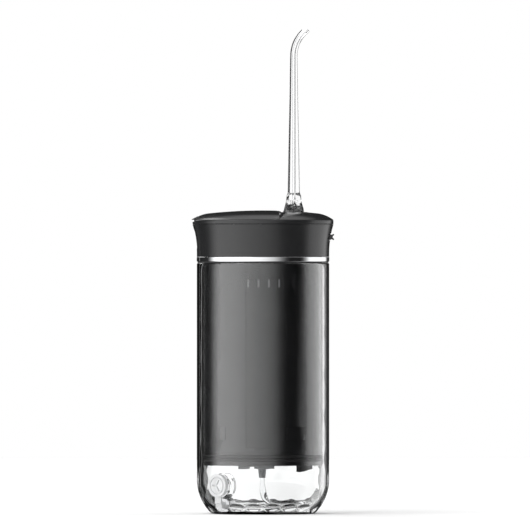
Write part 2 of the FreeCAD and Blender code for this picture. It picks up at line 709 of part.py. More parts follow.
def top_deck():
    """Band under the lid, plate with the compartment's mouth, and the dome round the nozzle."""
    band = disc(DOME_EDGE_R, HEAD_TOP_Z + RUNNING_GAP, BAND_Z)
    rims = [e for e in band.Edges if e.BoundBox.ZLength < 0.01 and e.BoundBox.XLength > DOME_EDGE_R]
    band = band.makeChamfer(BAND_CHAMFER, rims)
    band = band.cut(disc(DOME_EDGE_R - HEAD_WALL, HEAD_TOP_Z - 1, HEAD_TOP_Z + 0.6))
    cover = dome_core(0).cut(dome_core(DOME_T))
    cover = cover.common(block(HINGE_X + LID_GAP, FAR, -FAR, FAR, BAND_Z - 1, FAR * 2))
    wall_x = HINGE_X + LID_SWEEP_R + LID_GAP
    cover = cover.cut(block(0, wall_x, -FAR, FAR, HINGE_Z, FAR * 2)).cut(hinge_drum(LID_SWEEP_R + LID_GAP))
    boss = disc(TURRET_R + TURRET_COLLAR_T, BAND_Z - 0.5, TURRET_TOP_Z - 0.3, NOZZLE_X)
    boss = boss.common(dome_core(0.1, BAND_Z - 0.5))
    half = NOTCH_HALF - LID_GAP
    plinth = block(HINGE_X - PLINTH_DRUM_R, NOZZLE_X, -half, half, BAND_Z - 0.5, HINGE_Z)
    deck = band.fuse([cover, boss, plinth, hinge_drum(PLINTH_DRUM_R, -half, half)])
    for y_low, y_high in lug_spans(0.0):
        post = block(HINGE_X - 0.3, HINGE_X + LUG_R, y_low, y_high, BAND_Z - 0.5, HINGE_Z)
        deck = deck.fuse([post, hinge_drum(LUG_R, y_low, y_high)])
    deck = deck.cut([hinge_drum(HINGE_PIN_R, low, high) for low, high in pin_spans()])
    deck = deck.cut(disc(TURRET_R + RUNNING_GAP, HEAD_TOP_Z - 1, FAR * 2, NOZZLE_X))
    deck = deck.cut(disc(TURRET_FLANGE_R + 0.2, HEAD_TOP_Z - 1, HEAD_TOP_Z + 0.9, NOZZLE_X))
    deck = deck.cut(stadium(WELL_HALF_W, WELL_STRAIGHT, HEAD_TOP_Z - 1, BAND_Z + 1, WELL_X))
    for x, y in deck_screw_places():
        deck = deck.cut(disc(SCREW_R + 0.1, HEAD_TOP_Z - 1, BAND_Z + 1, x, y))
        deck = deck.cut(disc(SCREW_HEAD_R + 0.1, BAND_Z - SCREW_HEAD_T - 0.15, BAND_Z + 1, x, y))
    thumb = block(-FAR, -DOME_EDGE_R + 0.7, -LIP_HALF, LIP_HALF, BAND_Z - 0.9, BAND_Z + 1)
    return deck.cut(thumb).removeSplitter()


def deck_screws():
    return group([screw(5.0, x, y, BAND_Z - 0.15, down=True) for x, y in deck_screw_places()])


def flip_lid():
    """Dome shell left of the hinge, with a drum-shaped tail, cut out round lugs and nozzle deck."""
    floor_z = BAND_Z + RUNNING_GAP
    shell = dome_core(0).cut(dome_core(DOME_T)).common(block(-FAR, HINGE_X, -FAR, FAR, floor_z, FAR * 2))
    tail = dome_core(0).common(hinge_drum(LID_SWEEP_R)).common(block(0, FAR, -FAR, FAR, floor_z, FAR * 2))
    lid = shell.fuse([tail, thumb_lip(floor_z)])
    for y_low, y_high in lug_spans(LID_GAP):
        lid = lid.cut(block(HINGE_X - LID_SWEEP_R, FAR, y_low, y_high, 0, FAR * 2))
    lid = lid.cut(block(NOTCH_X, FAR, -NOTCH_HALF, NOTCH_HALF, 0, FAR * 2))
    lid = lid.cut(hinge_drum(HINGE_PIN_R + RUNNING_GAP, -PIN_START - PIN_LENGTH - 0.1, PIN_START + PIN_LENGTH + 0.1))
    return lid.removeSplitter()


def thumb_lip(floor_z):
    """Beak that carries the dome's slope on past the band, thin at its tip."""
    tip, root = -DOME_EDGE_R - LIP_REACH, -DOME_EDGE_R + LIP_ROOT
    outline = [(tip, floor_z), (tip, floor_z + LIP_EDGE_T), (root - LIP_LEDGE, floor_z + LIP_RISE)]
    outline += [(root, floor_z + LIP_RISE), (root, floor_z)]
    corners = [Vector(x, -LIP_HALF, z) for x, z in outline]
    beak = Part.Face(Part.makePolygon(corners + corners[:1])).extrude(Vector(0, 2 * LIP_HALF, 0))
    return beak.cut(dome_core(DOME_T)).common(disc(-tip, floor_z, FAR * 2))


def lid_hinge_pins():
    """One short pin each side, held in the deck's lug and running in the lid on both sides of it."""
    return group([hinge_drum(HINGE_PIN_R, low, high) for low, high in pin_spans()])


def pin_spans():
    return [(PIN_START, PIN_START + PIN_LENGTH), (-PIN_START - PIN_LENGTH, -PIN_START)]


def storage_well():
    top = HEAD_TOP_Z + RUNNING_GAP
    outer = stadium(WELL_HALF_W + WELL_WALL, WELL_STRAIGHT, WELL_FOOT_Z, top, WELL_X)
    return outer.cut(stadium(WELL_HALF_W, WELL_STRAIGHT, WELL_FOOT_Z + WELL_WALL, top + 1, WELL_X))


# ---------------------------------------------------------------- nozzle
def nozzle_turret():
    turret = disc(TURRET_R, TURRET_Z_LOW, TURRET_TOP_Z, NOZZLE_X)
    turret = turret.fuse(disc(TURRET_FLANGE_R, TURRET_Z_LOW, HEAD_TOP_Z + 0.6, NOZZLE_X))
    return turret.cut(disc(COLLAR_R + RUNNING_GAP, TURRET_Z_LOW - 1, TURRET_TOP_Z + 1, NOZZLE_X)).removeSplitter()


def bend_frame():
    """Centre of the bend, and the direction that the tip points in."""
    angle = math.radians(BEND_ANGLE)
    centre = Vector(BEND_R, 0, BEND_Z)
    return centre, Vector(math.sin(angle), 0, math.cos(angle))


def bent_bar(radius, tip_radius, overrun):
    """Quarter-like bend and straight tip of the nozzle, about its own axis."""
    centre, direction = bend_frame()
    angle = math.radians(BEND_ANGLE)
    section = Part.Face(Part.Wire(Part.makeCircle(radius, Vector(0, 0, BEND_Z), Vector(0, 0, 1))))
    bend = section.revolve(centre, Vector(0, 1, 0), BEND_ANGLE)
    end = centre + Vector(-BEND_R * math.cos(angle), 0, BEND_R * math.sin(angle))
    tip = Part.makeCone(radius, tip_radius, TIP_LENGTH + overrun, end, direction)
    return bend.fuse(tip)


def nozzle():
    outline = [(0, NOZZLE_FOOT_Z), (STEM_R - 0.4, NOZZLE_FOOT_Z), (STEM_R, NOZZLE_FOOT_Z + 0.4)]
    outline += [(STEM_R, GROOVE_Z_LOW), (GROOVE_R, GROOVE_Z_LOW), (GROOVE_R, GROOVE_Z_HIGH)]
    outline += [(STEM_R, GROOVE_Z_HIGH), (STEM_R, COLLAR_Z), (COLLAR_R, COLLAR_Z), (COLLAR_R, COLLAR_TOP_Z)]
    outline += [(3.95, COLLAR_TOP_Z + 2.9), (SHAFT_R, CONE_TOP_Z), (BEND_TUBE_R, BEND_Z), (0, BEND_Z)]
    body = turned_polygon(outline)
    for index in range(12):
        rib = block(COLLAR_R - 0.25, COLLAR_R + 1, -0.35, 0.35, COLLAR_TOP_Z - 0.05, COLLAR_TOP_Z + 2.2)
        body = body.cut(turned_by(rib, 30 * index))
    body = body.fuse(bent_bar(BEND_TUBE_R, TIP_R, 0.0))
    bore = disc(NOZZLE_BORE_R, NOZZLE_FOOT_Z - 1, BEND_Z)
    bore = bore.fuse(bent_bar(NOZZLE_BORE_R, NOZZLE_BORE_R * 0.6, 0.5))
    return moved(body.cut(bore).removeSplitter(), NOZZLE_X, 0)


def nozzle_port():
    """Cup that the nozzle's stem stands in, with a slot for the latch plate and a seat for its spring."""
    outer_r = STEM_R + 2.0
    low, high = NOZZLE_FOOT_Z - 3.2, COLLAR_Z - 0.1
    slot_low = RELEASE_Z - LATCH_T / 2 - 0.25
    slot_high = RELEASE_Z + LATCH_T / 2 + 0.25
    port = disc(outer_r, low, high, NOZZLE_X)
    port = port.cut(disc(STEM_R + RUNNING_GAP, NOZZLE_FOOT_Z - 1.6, COLLAR_Z, NOZZLE_X))
    port = port.cut(block(0, FAR, -FAR, FAR, slot_low, slot_high))
    for side in (-1, 1):
        middle = side * (outer_r + 0.2)
        port = port.fuse(block(NOZZLE_X - 1.2, NOZZLE_X + 1.2, middle - 1.0, middle + 1.0, low, high))
    port = port.fuse(block(SPRING_SEAT_X - 1.2, NOZZLE_X, -1.9, 1.9, low, low + 1.2))
    port = port.fuse(block(SPRING_SEAT_X - 1.2, SPRING_SEAT_X, -1.9, 1.9, low, RELEASE_Z + 1.6))
    port = port.fuse(disc(TUBE_R, HEAD_FLOOR_TOP, low, NOZZLE_X))
    return port.cut(disc(TUBE_BORE_R, HEAD_FOOT_Z, NOZZLE_FOOT_Z, NOZZLE_X)).removeSplitter()


def port_seal():
    return ring(1.6, STEM_R, NOZZLE_FOOT_Z - 1.6, NOZZLE_FOOT_Z - 0.1, NOZZLE_X)


# ---------------------------------------------------------------- buttons and socket
def release_button():
    """Button with a groove along its end, a waist above and below, and a flange inside the wall."""
    half_w, half_h = RELEASE_HALF_W, RELEASE_H / 2
    low, high = RELEASE_Z - half_h, RELEASE_Z + half_h
    button = block(RELEASE_FLANGE_X, RELEASE_TIP_X, -half_w, half_w, low, high)
    button = button.cut(rod_along("y", 0.75, -half_w - 1, half_w + 1, RELEASE_TIP_X + 0.15, RELEASE_Z))
    for z in (low - 0.28, high + 0.28):
        button = button.cut(rod_along("y", 0.6, -half_w - 1, half_w + 1, RELEASE_TIP_X - 1.1, z))
    flange = block(RELEASE_FLANGE_X, RELEASE_FLANGE_X + 1.2, -half_w - 1, half_w + 1, low - 0.6, high + 0.6)
    slot = block(RELEASE_FLANGE_X - 1, LATCH_RIGHT_X, -LATCH_HALF_W, LATCH_HALF_W,
                 RELEASE_Z - LATCH_T / 2, RELEASE_Z + LATCH_T / 2)
    return button.fuse(flange).cut(slot).removeSplitter()


def release_latch():
    """Steel plate round the nozzle's groove, with a hole long enough for the button's travel."""
    low, high = RELEASE_Z - LATCH_T / 2, RELEASE_Z + LATCH_T / 2
    half_w = STEM_R + 1.1
    plate = block(NOZZLE_X, LATCH_RIGHT_X, -LATCH_HALF_W, LATCH_HALF_W, low, high)
    head = block(LATCH_LEFT_X, NOZZLE_X + 6, -half_w, half_w, low, high)
    hole = stadium(STEM_R + 0.1, RELEASE_TRAVEL + 0.1, low - 1, high + 1, NOZZLE_X + RELEASE_TRAVEL / 2)
    return plate.fuse(head).cut(hole).removeSplitter()


def release_spring():
    """Presses between its seat on the port and the latch plate's left end, along X."""
    spring = coil_spring(1.2, 0.2, LATCH_LEFT_X - SPRING_SEAT_X, 4)
    spring.rotate(Vector(0, 0, 0), Vector(0, 1, 0), 90)
    return moved(spring, SPRING_SEAT_X, 0, RELEASE_Z)


def face_button(radius, y):
    """Push button flush with the head's left side, on a short stem."""
    cap = rod_along("x", radius, -FAR, -HEAD_FOOT_R + 3.4, y, BUTTON_Z)
    cap = cap.common(head_core(0.15, HEAD_FLOOR_TOP, HEAD_TOP_Z))
    inner = -math.sqrt((HEAD_FOOT_R - HEAD_WALL) ** 2 - y ** 2) + 1.2
    stem = rod_along("x", 1.2, -HEAD_FOOT_R + 2.5, -24.6, y, BUTTON_Z)
    return cap.common(block(-FAR, inner, -FAR, FAR, 0, FAR * 2)).fuse(stem).removeSplitter()


def control_board():
    """Upright board behind the buttons, with a switch under each."""
    board = block(-23.2, -22.2, -8.0, 14.5, HEAD_FLOOR_TOP + 0.2, HEAD_TOP_Z - 1.0)
    for y in (0, MODE_Y):
        board = board.fuse(block(-24.0, -23.0, y - 1.6, y + 1.6, BUTTON_Z - 1.6, BUTTON_Z + 1.6))
    return board.removeSplitter()


def charge_port():
    """Metal shell of the charging socket, open at the back of the head."""
    half_w, half_h = SOCKET_W / 2, SOCKET_H / 2
    y_out = flare_point(SOCKET_Z)[0] - COVER_T - 0.6
    shell = block(-half_w, half_w, y_out - 7.4, y_out, SOCKET_Z - half_h, SOCKET_Z + half_h)
    shell = shell.makeFillet(1.3, [e for e in shell.Edges if e.BoundBox.YLength > 7])
    inner = block(-half_w + 0.35, half_w - 0.35, y_out - 6.4, y_out + 1, SOCKET_Z - half_h + 0.35,
                  SOCKET_Z + half_h - 0.35)
    inner = inner.makeFillet(1.0, [e for e in inner.Edges if e.BoundBox.YLength > 7])
    tongue = block(-3.2, 3.2, y_out - 6.6, y_out - 1.2, SOCKET_Z - 0.35, SOCKET_Z + 0.35)
    return shell.cut(inner).fuse(tongue).removeSplitter()


def port_cover():
    """Rubber flap, seated flush over the socket, with a nail catch; it swings on its left end."""
    low, high = SOCKET_Z - COVER_H, SOCKET_Z + COVER_H * 0.9
    flap = cover_space(0.0).common(head_core(-0.2, low, high))
    nail = block(COVER_W / 2 - 1.6, COVER_W / 2, 0, FAR, SOCKET_Z - 1.6, SOCKET_Z + 1.6)
    nail = nail.common(head_core(-0.7, low, high)).cut(head_core(COVER_T / 2, low, high))
    return flap.fuse([nail, cover_knuckle(0.0)]).removeSplitter()


# ---------------------------------------------------------------- drive
def crank_gear():
    gear = spur_gear(GEAR_TEETH, 0.35, 0.6, 0.42, GEAR_Z, GEAR_Z + GEAR_T)
    gear = gear.fuse(disc(CRANK_PIN_R, PISTON_Z - 1.2, GEAR_Z + 0.5, CRANK_THROW))
    gear = gear.cut(disc(AXLE_R + RUNNING_GAP, GEAR_Z - 1, GEAR_Z + GEAR_T + 1))
    for index in range(5):
        hole = disc(2.2, GEAR_Z + 1.2, GEAR_Z + GEAR_T + 1, 7.4)
        gear = gear.cut(turned_by(hole, 72 * index + 36))
    return moved(gear.removeSplitter(), CRANK_X, 0)


def motor_pinion():
    """Pinion and motor shaft in one body, turned so that its teeth meet the gear's."""
    pinion = spur_gear(PINION_TEETH, 0.45, 0.6, 0.42, GEAR_Z - 0.4, GEAR_Z + GEAR_T - 0.1)
    half_tooth = 180 / PINION_TEETH
    gear_phase = PINION_SIDE_ANGLE * GEAR_TEETH / PINION_TEETH
    pinion = turned_by(pinion, PINION_SIDE_ANGLE + 180 + half_tooth + gear_phase)
    shaft = disc(MOTOR_SHAFT_R, GEAR_Z - 0.4, FRAME_Z + FRAME_T + MOTOR_L + 2)
    return moved(pinion.fuse(shaft).removeSplitter(), MOTOR_X, MOTOR_Y)


def gear_axle():
    return disc(AXLE_R, GEAR_Z - 0.3, FRAME_Z + FRAME_T, CRANK_X)


def motor_frame():
    """Plate over the gear that carries axle and motor, on three posts from the base."""
    top = FRAME_Z + FRAME_T
    plate = disc(BODY_BORE_R - SKIRT_T - 0.6, FRAME_Z, top)
    plate = plate.cut(block(-FAR, CRANK_X - 4, -FAR, FAR, 0, FAR))
    for x, y in frame_posts():
        post = disc(POST_R, BODY_FOOT_Z + BASE_FLOOR, FRAME_Z + 0.5, x, y)
        plate = plate.fuse(post.cut(disc(SCREW_R, BODY_FOOT_Z, BODY_FOOT_Z + 7.4, x, y)))
    plate = plate.cut(disc(AXLE_R, FRAME_Z - 1, top + 1, CRANK_X))
    plate = plate.cut(disc(MOTOR_NOSE_R, FRAME_Z - 1, top + 1, MOTOR_X, MOTOR_Y))
    plate = plate.cut(disc(TUBE_R + 0.4, FRAME_Z - 1, top + 1, NOZZLE_X))
    for x, y in motor_screw_places():
        plate = plate.cut(disc(SCREW_R, FRAME_Z - 1, top + 1, x, y))
        plate = plate.cut(disc(SCREW_HEAD_R, FRAME_Z - 1, FRAME_Z + SCREW_HEAD_T, x, y))
    return plate.removeSplitter()


def motor_screw_places():
    return [(MOTOR_X + side * MOTOR_SCREW_PITCH / 2, MOTOR_Y) for side in (-1, 1)]


def frame_posts():
    return [(-8.0, 18.6), (-8.0, -18.6), (19.4, 7.2)]


def motor_can():
    low, high = FRAME_Z + FRAME_T, FRAME_Z + FRAME_T + MOTOR_L
    can = disc(MOTOR_R, low, high, MOTOR_X, MOTOR_Y)
    can = can.fuse(disc(MOTOR_NOSE_R, low - 1.0, low, MOTOR_X, MOTOR_Y))
    can = can.fuse(disc(MOTOR_NOSE_R, high, high + 1.5, MOTOR_X, MOTOR_Y))
    can = can.cut(disc(MOTOR_SHAFT_R + RUNNING_GAP, low - 2, high + 3, MOTOR_X, MOTOR_Y))
    for x, y in motor_screw_places():
        can = can.cut(disc(SCREW_R, low - 1, low + 2.6, x, y))
    return can.removeSplitter()


def motor_screws():
    return group([screw(FRAME_T + 1.0, x, y, FRAME_Z) for x, y in motor_screw_places()])


def piston():
    """Yoke frame round the crank pin, its rod and the piston's head."""
    clear = CRANK_THROW + CRANK_PIN_R
    half_w = clear + 0.3
    half_l = clear + CRANK_THROW + 0.3
    low, high = PISTON_Z - 1.6, PISTON_Z + 1.6
    frame = block(CRANK_X - half_l - 1.5, CRANK_X + half_l + 1.5, -half_w - 1.5, half_w + 1.5, low, high)
    frame = frame.cut(block(CRANK_X - half_l, CRANK_X + half_l, -half_w, half_w, low - 1, high + 1))
    rod = rod_along("x", 1.3, CRANK_X + half_l + 1.0, 8.0, 0, PISTON_Z)
    head = rod_along("x", BORE_R - RUNNING_GAP, 7.0, 9.6, 0, PISTON_Z)
    groove = rod_along("x", BORE_R + 1, 7.8, 8.8, 0, PISTON_Z).cut(rod_along("x", 2.2, 7, 9, 0, PISTON_Z))
    return frame.fuse([rod, head]).cut(groove).removeSplitter()


def piston_seal():
    seal = rod_along("x", BORE_R - 0.02, 7.85, 8.75, 0, PISTON_Z)
    return seal.cut(rod_along("x", 2.2, 7, 9, 0, PISTON_Z))


def pump_cylinder():
    """Open barrel on the left, closed head with inlet and outlet on the right."""
    outer_r = BORE_R + CYLINDER_WALL
    barrel = rod_along("x", outer_r, 4.0, 17.2, 0, PISTON_Z)
    barrel = barrel.cut(rod_along("x", BORE_R, 3.0, 12.3, 0, PISTON_Z))
    head = block(NOZZLE_X - 1.6, 18.0, -4.2, 4.2, BODY_FOOT_Z + BASE_FLOOR, PISTON_Z + 4.0)
    nipple = disc(1.15, PISTON_Z + 3.5, FRAME_Z + FRAME_T + 4, NOZZLE_X)
    pump = barrel.fuse([head, nipple])
    pump = pump.cut(disc(0.7, PISTON_Z, FRAME_Z + FRAME_T + 5, NOZZLE_X))
    pump = pump.cut(rod_along("x", 0.8, 12.0, 16.4, 0, PISTON_Z))
    for z_low, z_high in ((BODY_FOOT_Z + 2.6, BODY_FOOT_Z + 5.2), (PISTON_Z + 0.9, PISTON_Z + 3.5)):
        pump = pump.cut(disc(1.1, z_low, z_high, 16.0))
    pump = pump.cut(disc(0.6, BODY_FOOT_Z + 1, PISTON_Z + 1, 16.0))
    return pump.removeSplitter()


def valve_balls():
    places = (BODY_FOOT_Z + 3.6, PISTON_Z + 1.9)
    return group([Part.makeSphere(0.9, Vector(16.0, 0, z)) for z in places])


def valve_springs():
    places = ((BODY_FOOT_Z + 4.6, 0.5), (PISTON_Z + 2.85, 0.55))
    springs = [moved(coil_spring(0.6, 0.12, length + 0.1, 1.5), 16.0, 0, z - 0.05) for z, length in places]
    return group(springs)


def inlet_duct():
    """Closed channel on the base's floor, from the spigot round the barrel to the pump's side."""
    low = BODY_FOOT_Z + BASE_FLOOR

    def channel(inset, z_low, z_high):
        across = block(SPIGOT_X - 2.2 + inset, SPIGOT_X + 2.2 - inset, -2.2 + inset, 8.4 - inset, z_low, z_high)
        along = block(SPIGOT_X, 16.0 - inset, DUCT_Y_LOW + inset, 8.4 - inset, z_low, z_high)
        return across.fuse(along)

    duct = channel(0, low, low + 1.9).cut(channel(0.6, low + 0.5, low + 1.4))
    duct = duct.cut(disc(TUBE_BORE_R, low - 1, low + 1.0, SPIGOT_X))
    return duct.cut(block(13.4, 15.4, 3, 5.5, low + 0.5, low + 1.4)).removeSplitter()


def pressure_tube():
    low = FRAME_Z + FRAME_T + 0.5
    return ring(TUBE_BORE_R, TUBE_R, low, HEAD_FLOOR_TOP - 0.1, NOZZLE_X)


def battery_cell():
    cell = disc(CELL_R, CELL_Z, CELL_Z + CELL_L - 1.2, CELL_X, CELL_Y)
    return cell.fuse(disc(3.0, CELL_Z + CELL_L - 1.2, CELL_Z + CELL_L, CELL_X, CELL_Y)).removeSplitter()


def battery_cradle():
    """Half-round holder with end walls, standing on the motor frame."""
    inner, outer = CELL_R + 0.1, CELL_R + 1.1
    low, high = FRAME_Z + FRAME_T, CELL_Z + CELL_L + 1.5
    holder = ring(inner, outer, low, high, CELL_X, CELL_Y)
    holder = holder.common(block(-FAR, FAR, CELL_Y - 2.5, FAR, 0, FAR * 2))
    half_disc = disc(outer, low, high, CELL_X, CELL_Y).common(block(-FAR, FAR, CELL_Y - 2.5, FAR, 0, FAR * 2))
    for z_low, z_high in ((low, CELL_Z - 0.05), (CELL_Z + CELL_L + 0.05, high)):
        holder = holder.fuse(half_disc.common(block(-FAR, FAR, -FAR, FAR, z_low, z_high)))
    return holder.common(disc(BODY_BORE_R - 0.3, 0, FAR * 2)).removeSplitter()


# ---------------------------------------------------------------- suction hose
def hose_path(points):
    """Straight runs joined by tangent arcs, each arc as large as its two runs allow."""
    corners = [Vector(*p) for p in points]
    edges = []
    radii = []
    last = corners[0]
    for before, corner, after in zip(corners, corners[1:], corners[2:]):
        back, ahead = (before - corner), (after - corner)
        short = min(back.Length, ahead.Length)
        turn = math.pi - back.getAngle(ahead)
        trim = 0.45 * short
        radius = trim / math.tan(turn / 2)
        radii.append(radius)
        back.normalize()
        ahead.normalize()
        start, end = corner + back * trim, corner + ahead * trim
        bisector = (back + ahead)
        bisector.normalize()
        centre = corner + bisector * (radius / math.cos(turn / 2))
        middle = centre - bisector * radius
        edges.append(Part.LineSegment(last, start).toShape())
        edges.append(Part.Arc(start, middle, end).toShape())
        last = end
    edges.append(Part.LineSegment(last, corners[-1]).toShape())
    return Part.Wire(edges), radii


def suction_hose():
    path, radii = hose_path(HOSE_ROUTE)
    start = Vector(*HOSE_ROUTE[0])
    heading = Vector(*HOSE_ROUTE[1]) - start
    section = Part.Wire(Part.makeCircle(HOSE_R, start, heading))
    hose = path.makePipeShell([section], True, False)
    expected = math.pi * HOSE_R ** 2 * path.Length
    print("hose length", round(path.Length, 1), "radii", [round(r, 1) for r in radii])
    print("hose volume", round(hose.Volume, 1), "expected", round(expected, 1))
    return hose


def hose_weight():
    """Strainer weight on the hose's end, lying on the tank floor."""
    end, before = Vector(*HOSE_ROUTE[-1]), Vector(*HOSE_ROUTE[-2])
    heading = end - before
    heading.z = 0
    heading.normalize()
    weight = Part.makeCylinder(WEIGHT_R, WEIGHT_L, end, heading)
    ends = [e for e in weight.Edges if e.isClosed()]
    return weight.makeFillet(0.5, ends)


PARTS = [
    water_tank, fill_plug, strap_anchor, suction_hose, hose_weight,
    body_sleeve, indicator_panel, light_pipes, indicator_board, base_cap, body_seals, base_screws,
    inlet_fitting, air_valve, rim_gasket, trim_ring, head_housing, top_deck, deck_screws, flip_lid,
    lid_hinge_pins, storage_well, nozzle_turret, nozzle, nozzle_port, port_seal, release_button,
    release_latch, release_spring, control_board, charge_port, port_cover, crank_gear, motor_pinion,
    gear_axle, motor_frame, motor_can, motor_screws, piston, piston_seal, pump_cylinder, valve_balls,
    valve_springs, inlet_duct, pressure_tube, battery_cell, battery_cradle,
]

for make in PARTS:
    save(make.__name__, make())
save("power_button", face_button(POWER_R, 0))
save("mode_button", face_button(MODE_R, MODE_Y))
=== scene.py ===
# %% [markdown]
# # A pocket water flosser
#
# The object is a clear water tank with a dark electric unit standing in it, a flared head with
# a flip lid, and a slim bent nozzle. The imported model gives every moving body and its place.
# This file gives the looks: each visible piece is modelled again with more care than a machine
# part needs, and every surface gets a procedural material.
#
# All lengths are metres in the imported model's own frame, so a new piece goes where the model
# says. Blender counts in metres too, so sizes are written in millimetres and multiplied by `MM`.

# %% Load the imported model
import json
import math

import bmesh
import bpy
from mathutils import Matrix, Vector

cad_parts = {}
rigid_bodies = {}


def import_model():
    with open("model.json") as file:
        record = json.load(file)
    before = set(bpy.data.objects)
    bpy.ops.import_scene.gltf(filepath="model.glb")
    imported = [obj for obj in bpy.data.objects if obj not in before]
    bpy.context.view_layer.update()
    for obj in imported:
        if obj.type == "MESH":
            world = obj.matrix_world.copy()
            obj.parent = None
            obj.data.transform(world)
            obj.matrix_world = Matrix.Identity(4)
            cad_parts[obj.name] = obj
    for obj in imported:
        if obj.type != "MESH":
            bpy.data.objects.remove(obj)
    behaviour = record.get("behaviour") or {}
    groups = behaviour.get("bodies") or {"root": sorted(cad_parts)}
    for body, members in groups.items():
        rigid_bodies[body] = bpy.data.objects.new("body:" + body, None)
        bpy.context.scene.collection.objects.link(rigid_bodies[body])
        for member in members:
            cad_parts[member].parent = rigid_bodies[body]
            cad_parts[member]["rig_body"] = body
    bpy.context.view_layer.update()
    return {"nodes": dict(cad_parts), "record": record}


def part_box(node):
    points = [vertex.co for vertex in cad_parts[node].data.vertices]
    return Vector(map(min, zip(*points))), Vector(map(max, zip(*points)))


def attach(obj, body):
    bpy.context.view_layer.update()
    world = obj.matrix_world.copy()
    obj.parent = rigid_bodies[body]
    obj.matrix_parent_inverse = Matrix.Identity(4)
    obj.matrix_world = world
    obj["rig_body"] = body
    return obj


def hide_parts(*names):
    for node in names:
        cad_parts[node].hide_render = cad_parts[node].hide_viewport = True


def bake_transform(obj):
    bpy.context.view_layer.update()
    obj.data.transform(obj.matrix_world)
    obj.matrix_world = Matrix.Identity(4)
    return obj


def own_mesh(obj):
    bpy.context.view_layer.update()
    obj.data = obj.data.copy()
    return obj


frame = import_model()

MM = 0.001
MERGE = 0.002 * MM
nodes = frame["nodes"]

# %% [markdown]
# ## Camera
#
# The object is seen level from its front, from far away through a long lens, which keeps the
# tank's two sides parallel. An orthographic camera would do that too, but it would lose the last
# trace of depth. The lens is worked out from the width that the picture takes in at the object,
# so distance and framing can be changed one at a time.

# %% Camera
VIEW_WIDTH = 240.3 * MM
VIEW_DISTANCE = 5.7
VIEW_TARGET = Vector((0.9, 0.0, 112.7)) * MM
SENSOR_MM = 36.0

camera_data = bpy.data.cameras.new("camera")
camera_data.sensor_width = SENSOR_MM
camera_data.lens = SENSOR_MM * VIEW_DISTANCE / VIEW_WIDTH
camera_data.clip_end = 4 * VIEW_DISTANCE
camera = bpy.data.objects.new("camera", camera_data)
camera.location = VIEW_TARGET + Vector((0, -VIEW_DISTANCE, 0))
camera.rotation_euler = (math.radians(90), 0, 0)
bpy.context.scene.collection.objects.link(camera)
bpy.context.scene.camera = camera
print("lens in mm:", round(camera_data.lens))

# %% [markdown]
# ## Studio light
#
# Polished dark plastic shows almost nothing but what stands round it, so the light is a ring of
# soft panels: a broad one at the left front, a dark gap at the right front, and a bright wall
# at the right and behind. Area lamps could do it, but their edges would show in the polish.
# Panels of that size are smoothest as a world whose brightness depends on the compass direction,
# where 0 degrees is straight towards the front and positive angles are to the right. A narrow
# strip light at the upper left draws the streak on the lid's edge. What the camera sees directly
# stays plain white.

# %% World of soft panels
BEHIND_LEFT = [(-180, 0.01), (-148, 0.01), (-147, 0.5), (-146, 0.5), (-145, 0.02), (-112, 0.03)]
BROAD_PANEL = [(-106, 0.25), (-95, 1.2), (-85, 2.0), (-55, 2.0), (-34, 1.65), (-10, 1.25), (5, 1.0)]
DARK_GAP = [(19, 0.68), (26, 0.44), (33, 0.2), (41, 0.05), (48, 0.015), (68, 0.015), (74, 0.06)]
RIGHT_WALL = [(81, 0.4), (88, 1.1), (96, 1.3), (136, 1.3), (141, 1.0), (146, 0.3), (150, 0.05), (180, 0.01)]
PANELS = BEHIND_LEFT + BROAD_PANEL + DARK_GAP + RIGHT_WALL
BRIGHTEST = max(value for _, value in PANELS)
OVERHEAD = 1.3
ABOVE_BACKDROP = 0.02
STRIP_LIGHT = 3.6

world = bpy.data.worlds.new("soft_panels")
world.use_nodes = True
tree = world.node_tree
tree.nodes.clear()


def add(tree, kind, **settings):
    """New node with its properties set; a key written as input_Name sets that socket."""
    node = tree.nodes.new(kind)
    for key, value in settings.items():
        if key.startswith("input_"):
            node.inputs[key[6:].replace("_", " ")].default_value = value
        else:
            setattr(node, key, value)
    return node


def slope(part, low, high):
    """Mask that goes from 0 to 1 while a part of the direction goes from low to high."""
    node = add(tree, "ShaderNodeMapRange", input_From_Min=low, input_From_Max=high)
    tree.links.new(parts.outputs[part], node.inputs["Value"])
    return node.outputs[0]


def both(first, second):
    """Mask that is 1 only where two masks are."""
    node = add(tree, "ShaderNodeMath", operation="MULTIPLY")
    tree.links.new(first, node.inputs[0])
    tree.links.new(second, node.inputs[1])
    return node.outputs[0]


def over(mask, below, above):
    """Mix of two colours by a mask; above may be a plain brightness."""
    node = add(tree, "ShaderNodeMix", data_type="RGBA")
    tree.links.new(mask, node.inputs["Factor"])
    tree.links.new(below, node.inputs["A"])
    if isinstance(above, float):
        node.inputs["B"].default_value = (above / BRIGHTEST,) * 3 + (1,)
    else:
        tree.links.new(above, node.inputs["B"])
    return node.outputs["Result"]


direction = add(tree, "ShaderNodeTexCoord")
parts = add(tree, "ShaderNodeSeparateXYZ")
backward = add(tree, "ShaderNodeMath", operation="MULTIPLY")
backward.inputs[1].default_value = -1
compass = add(tree, "ShaderNodeMath", operation="ARCTAN2")
turn = add(tree, "ShaderNodeMapRange", input_From_Min=-math.pi, input_From_Max=math.pi)
link = tree.links.new
link(direction.outputs["Generated"], parts.inputs[0])
link(parts.outputs["Y"], backward.inputs[0])
link(parts.outputs["X"], compass.inputs[0])
link(backward.outputs[0], compass.inputs[1])
link(compass.outputs[0], turn.inputs["Value"])

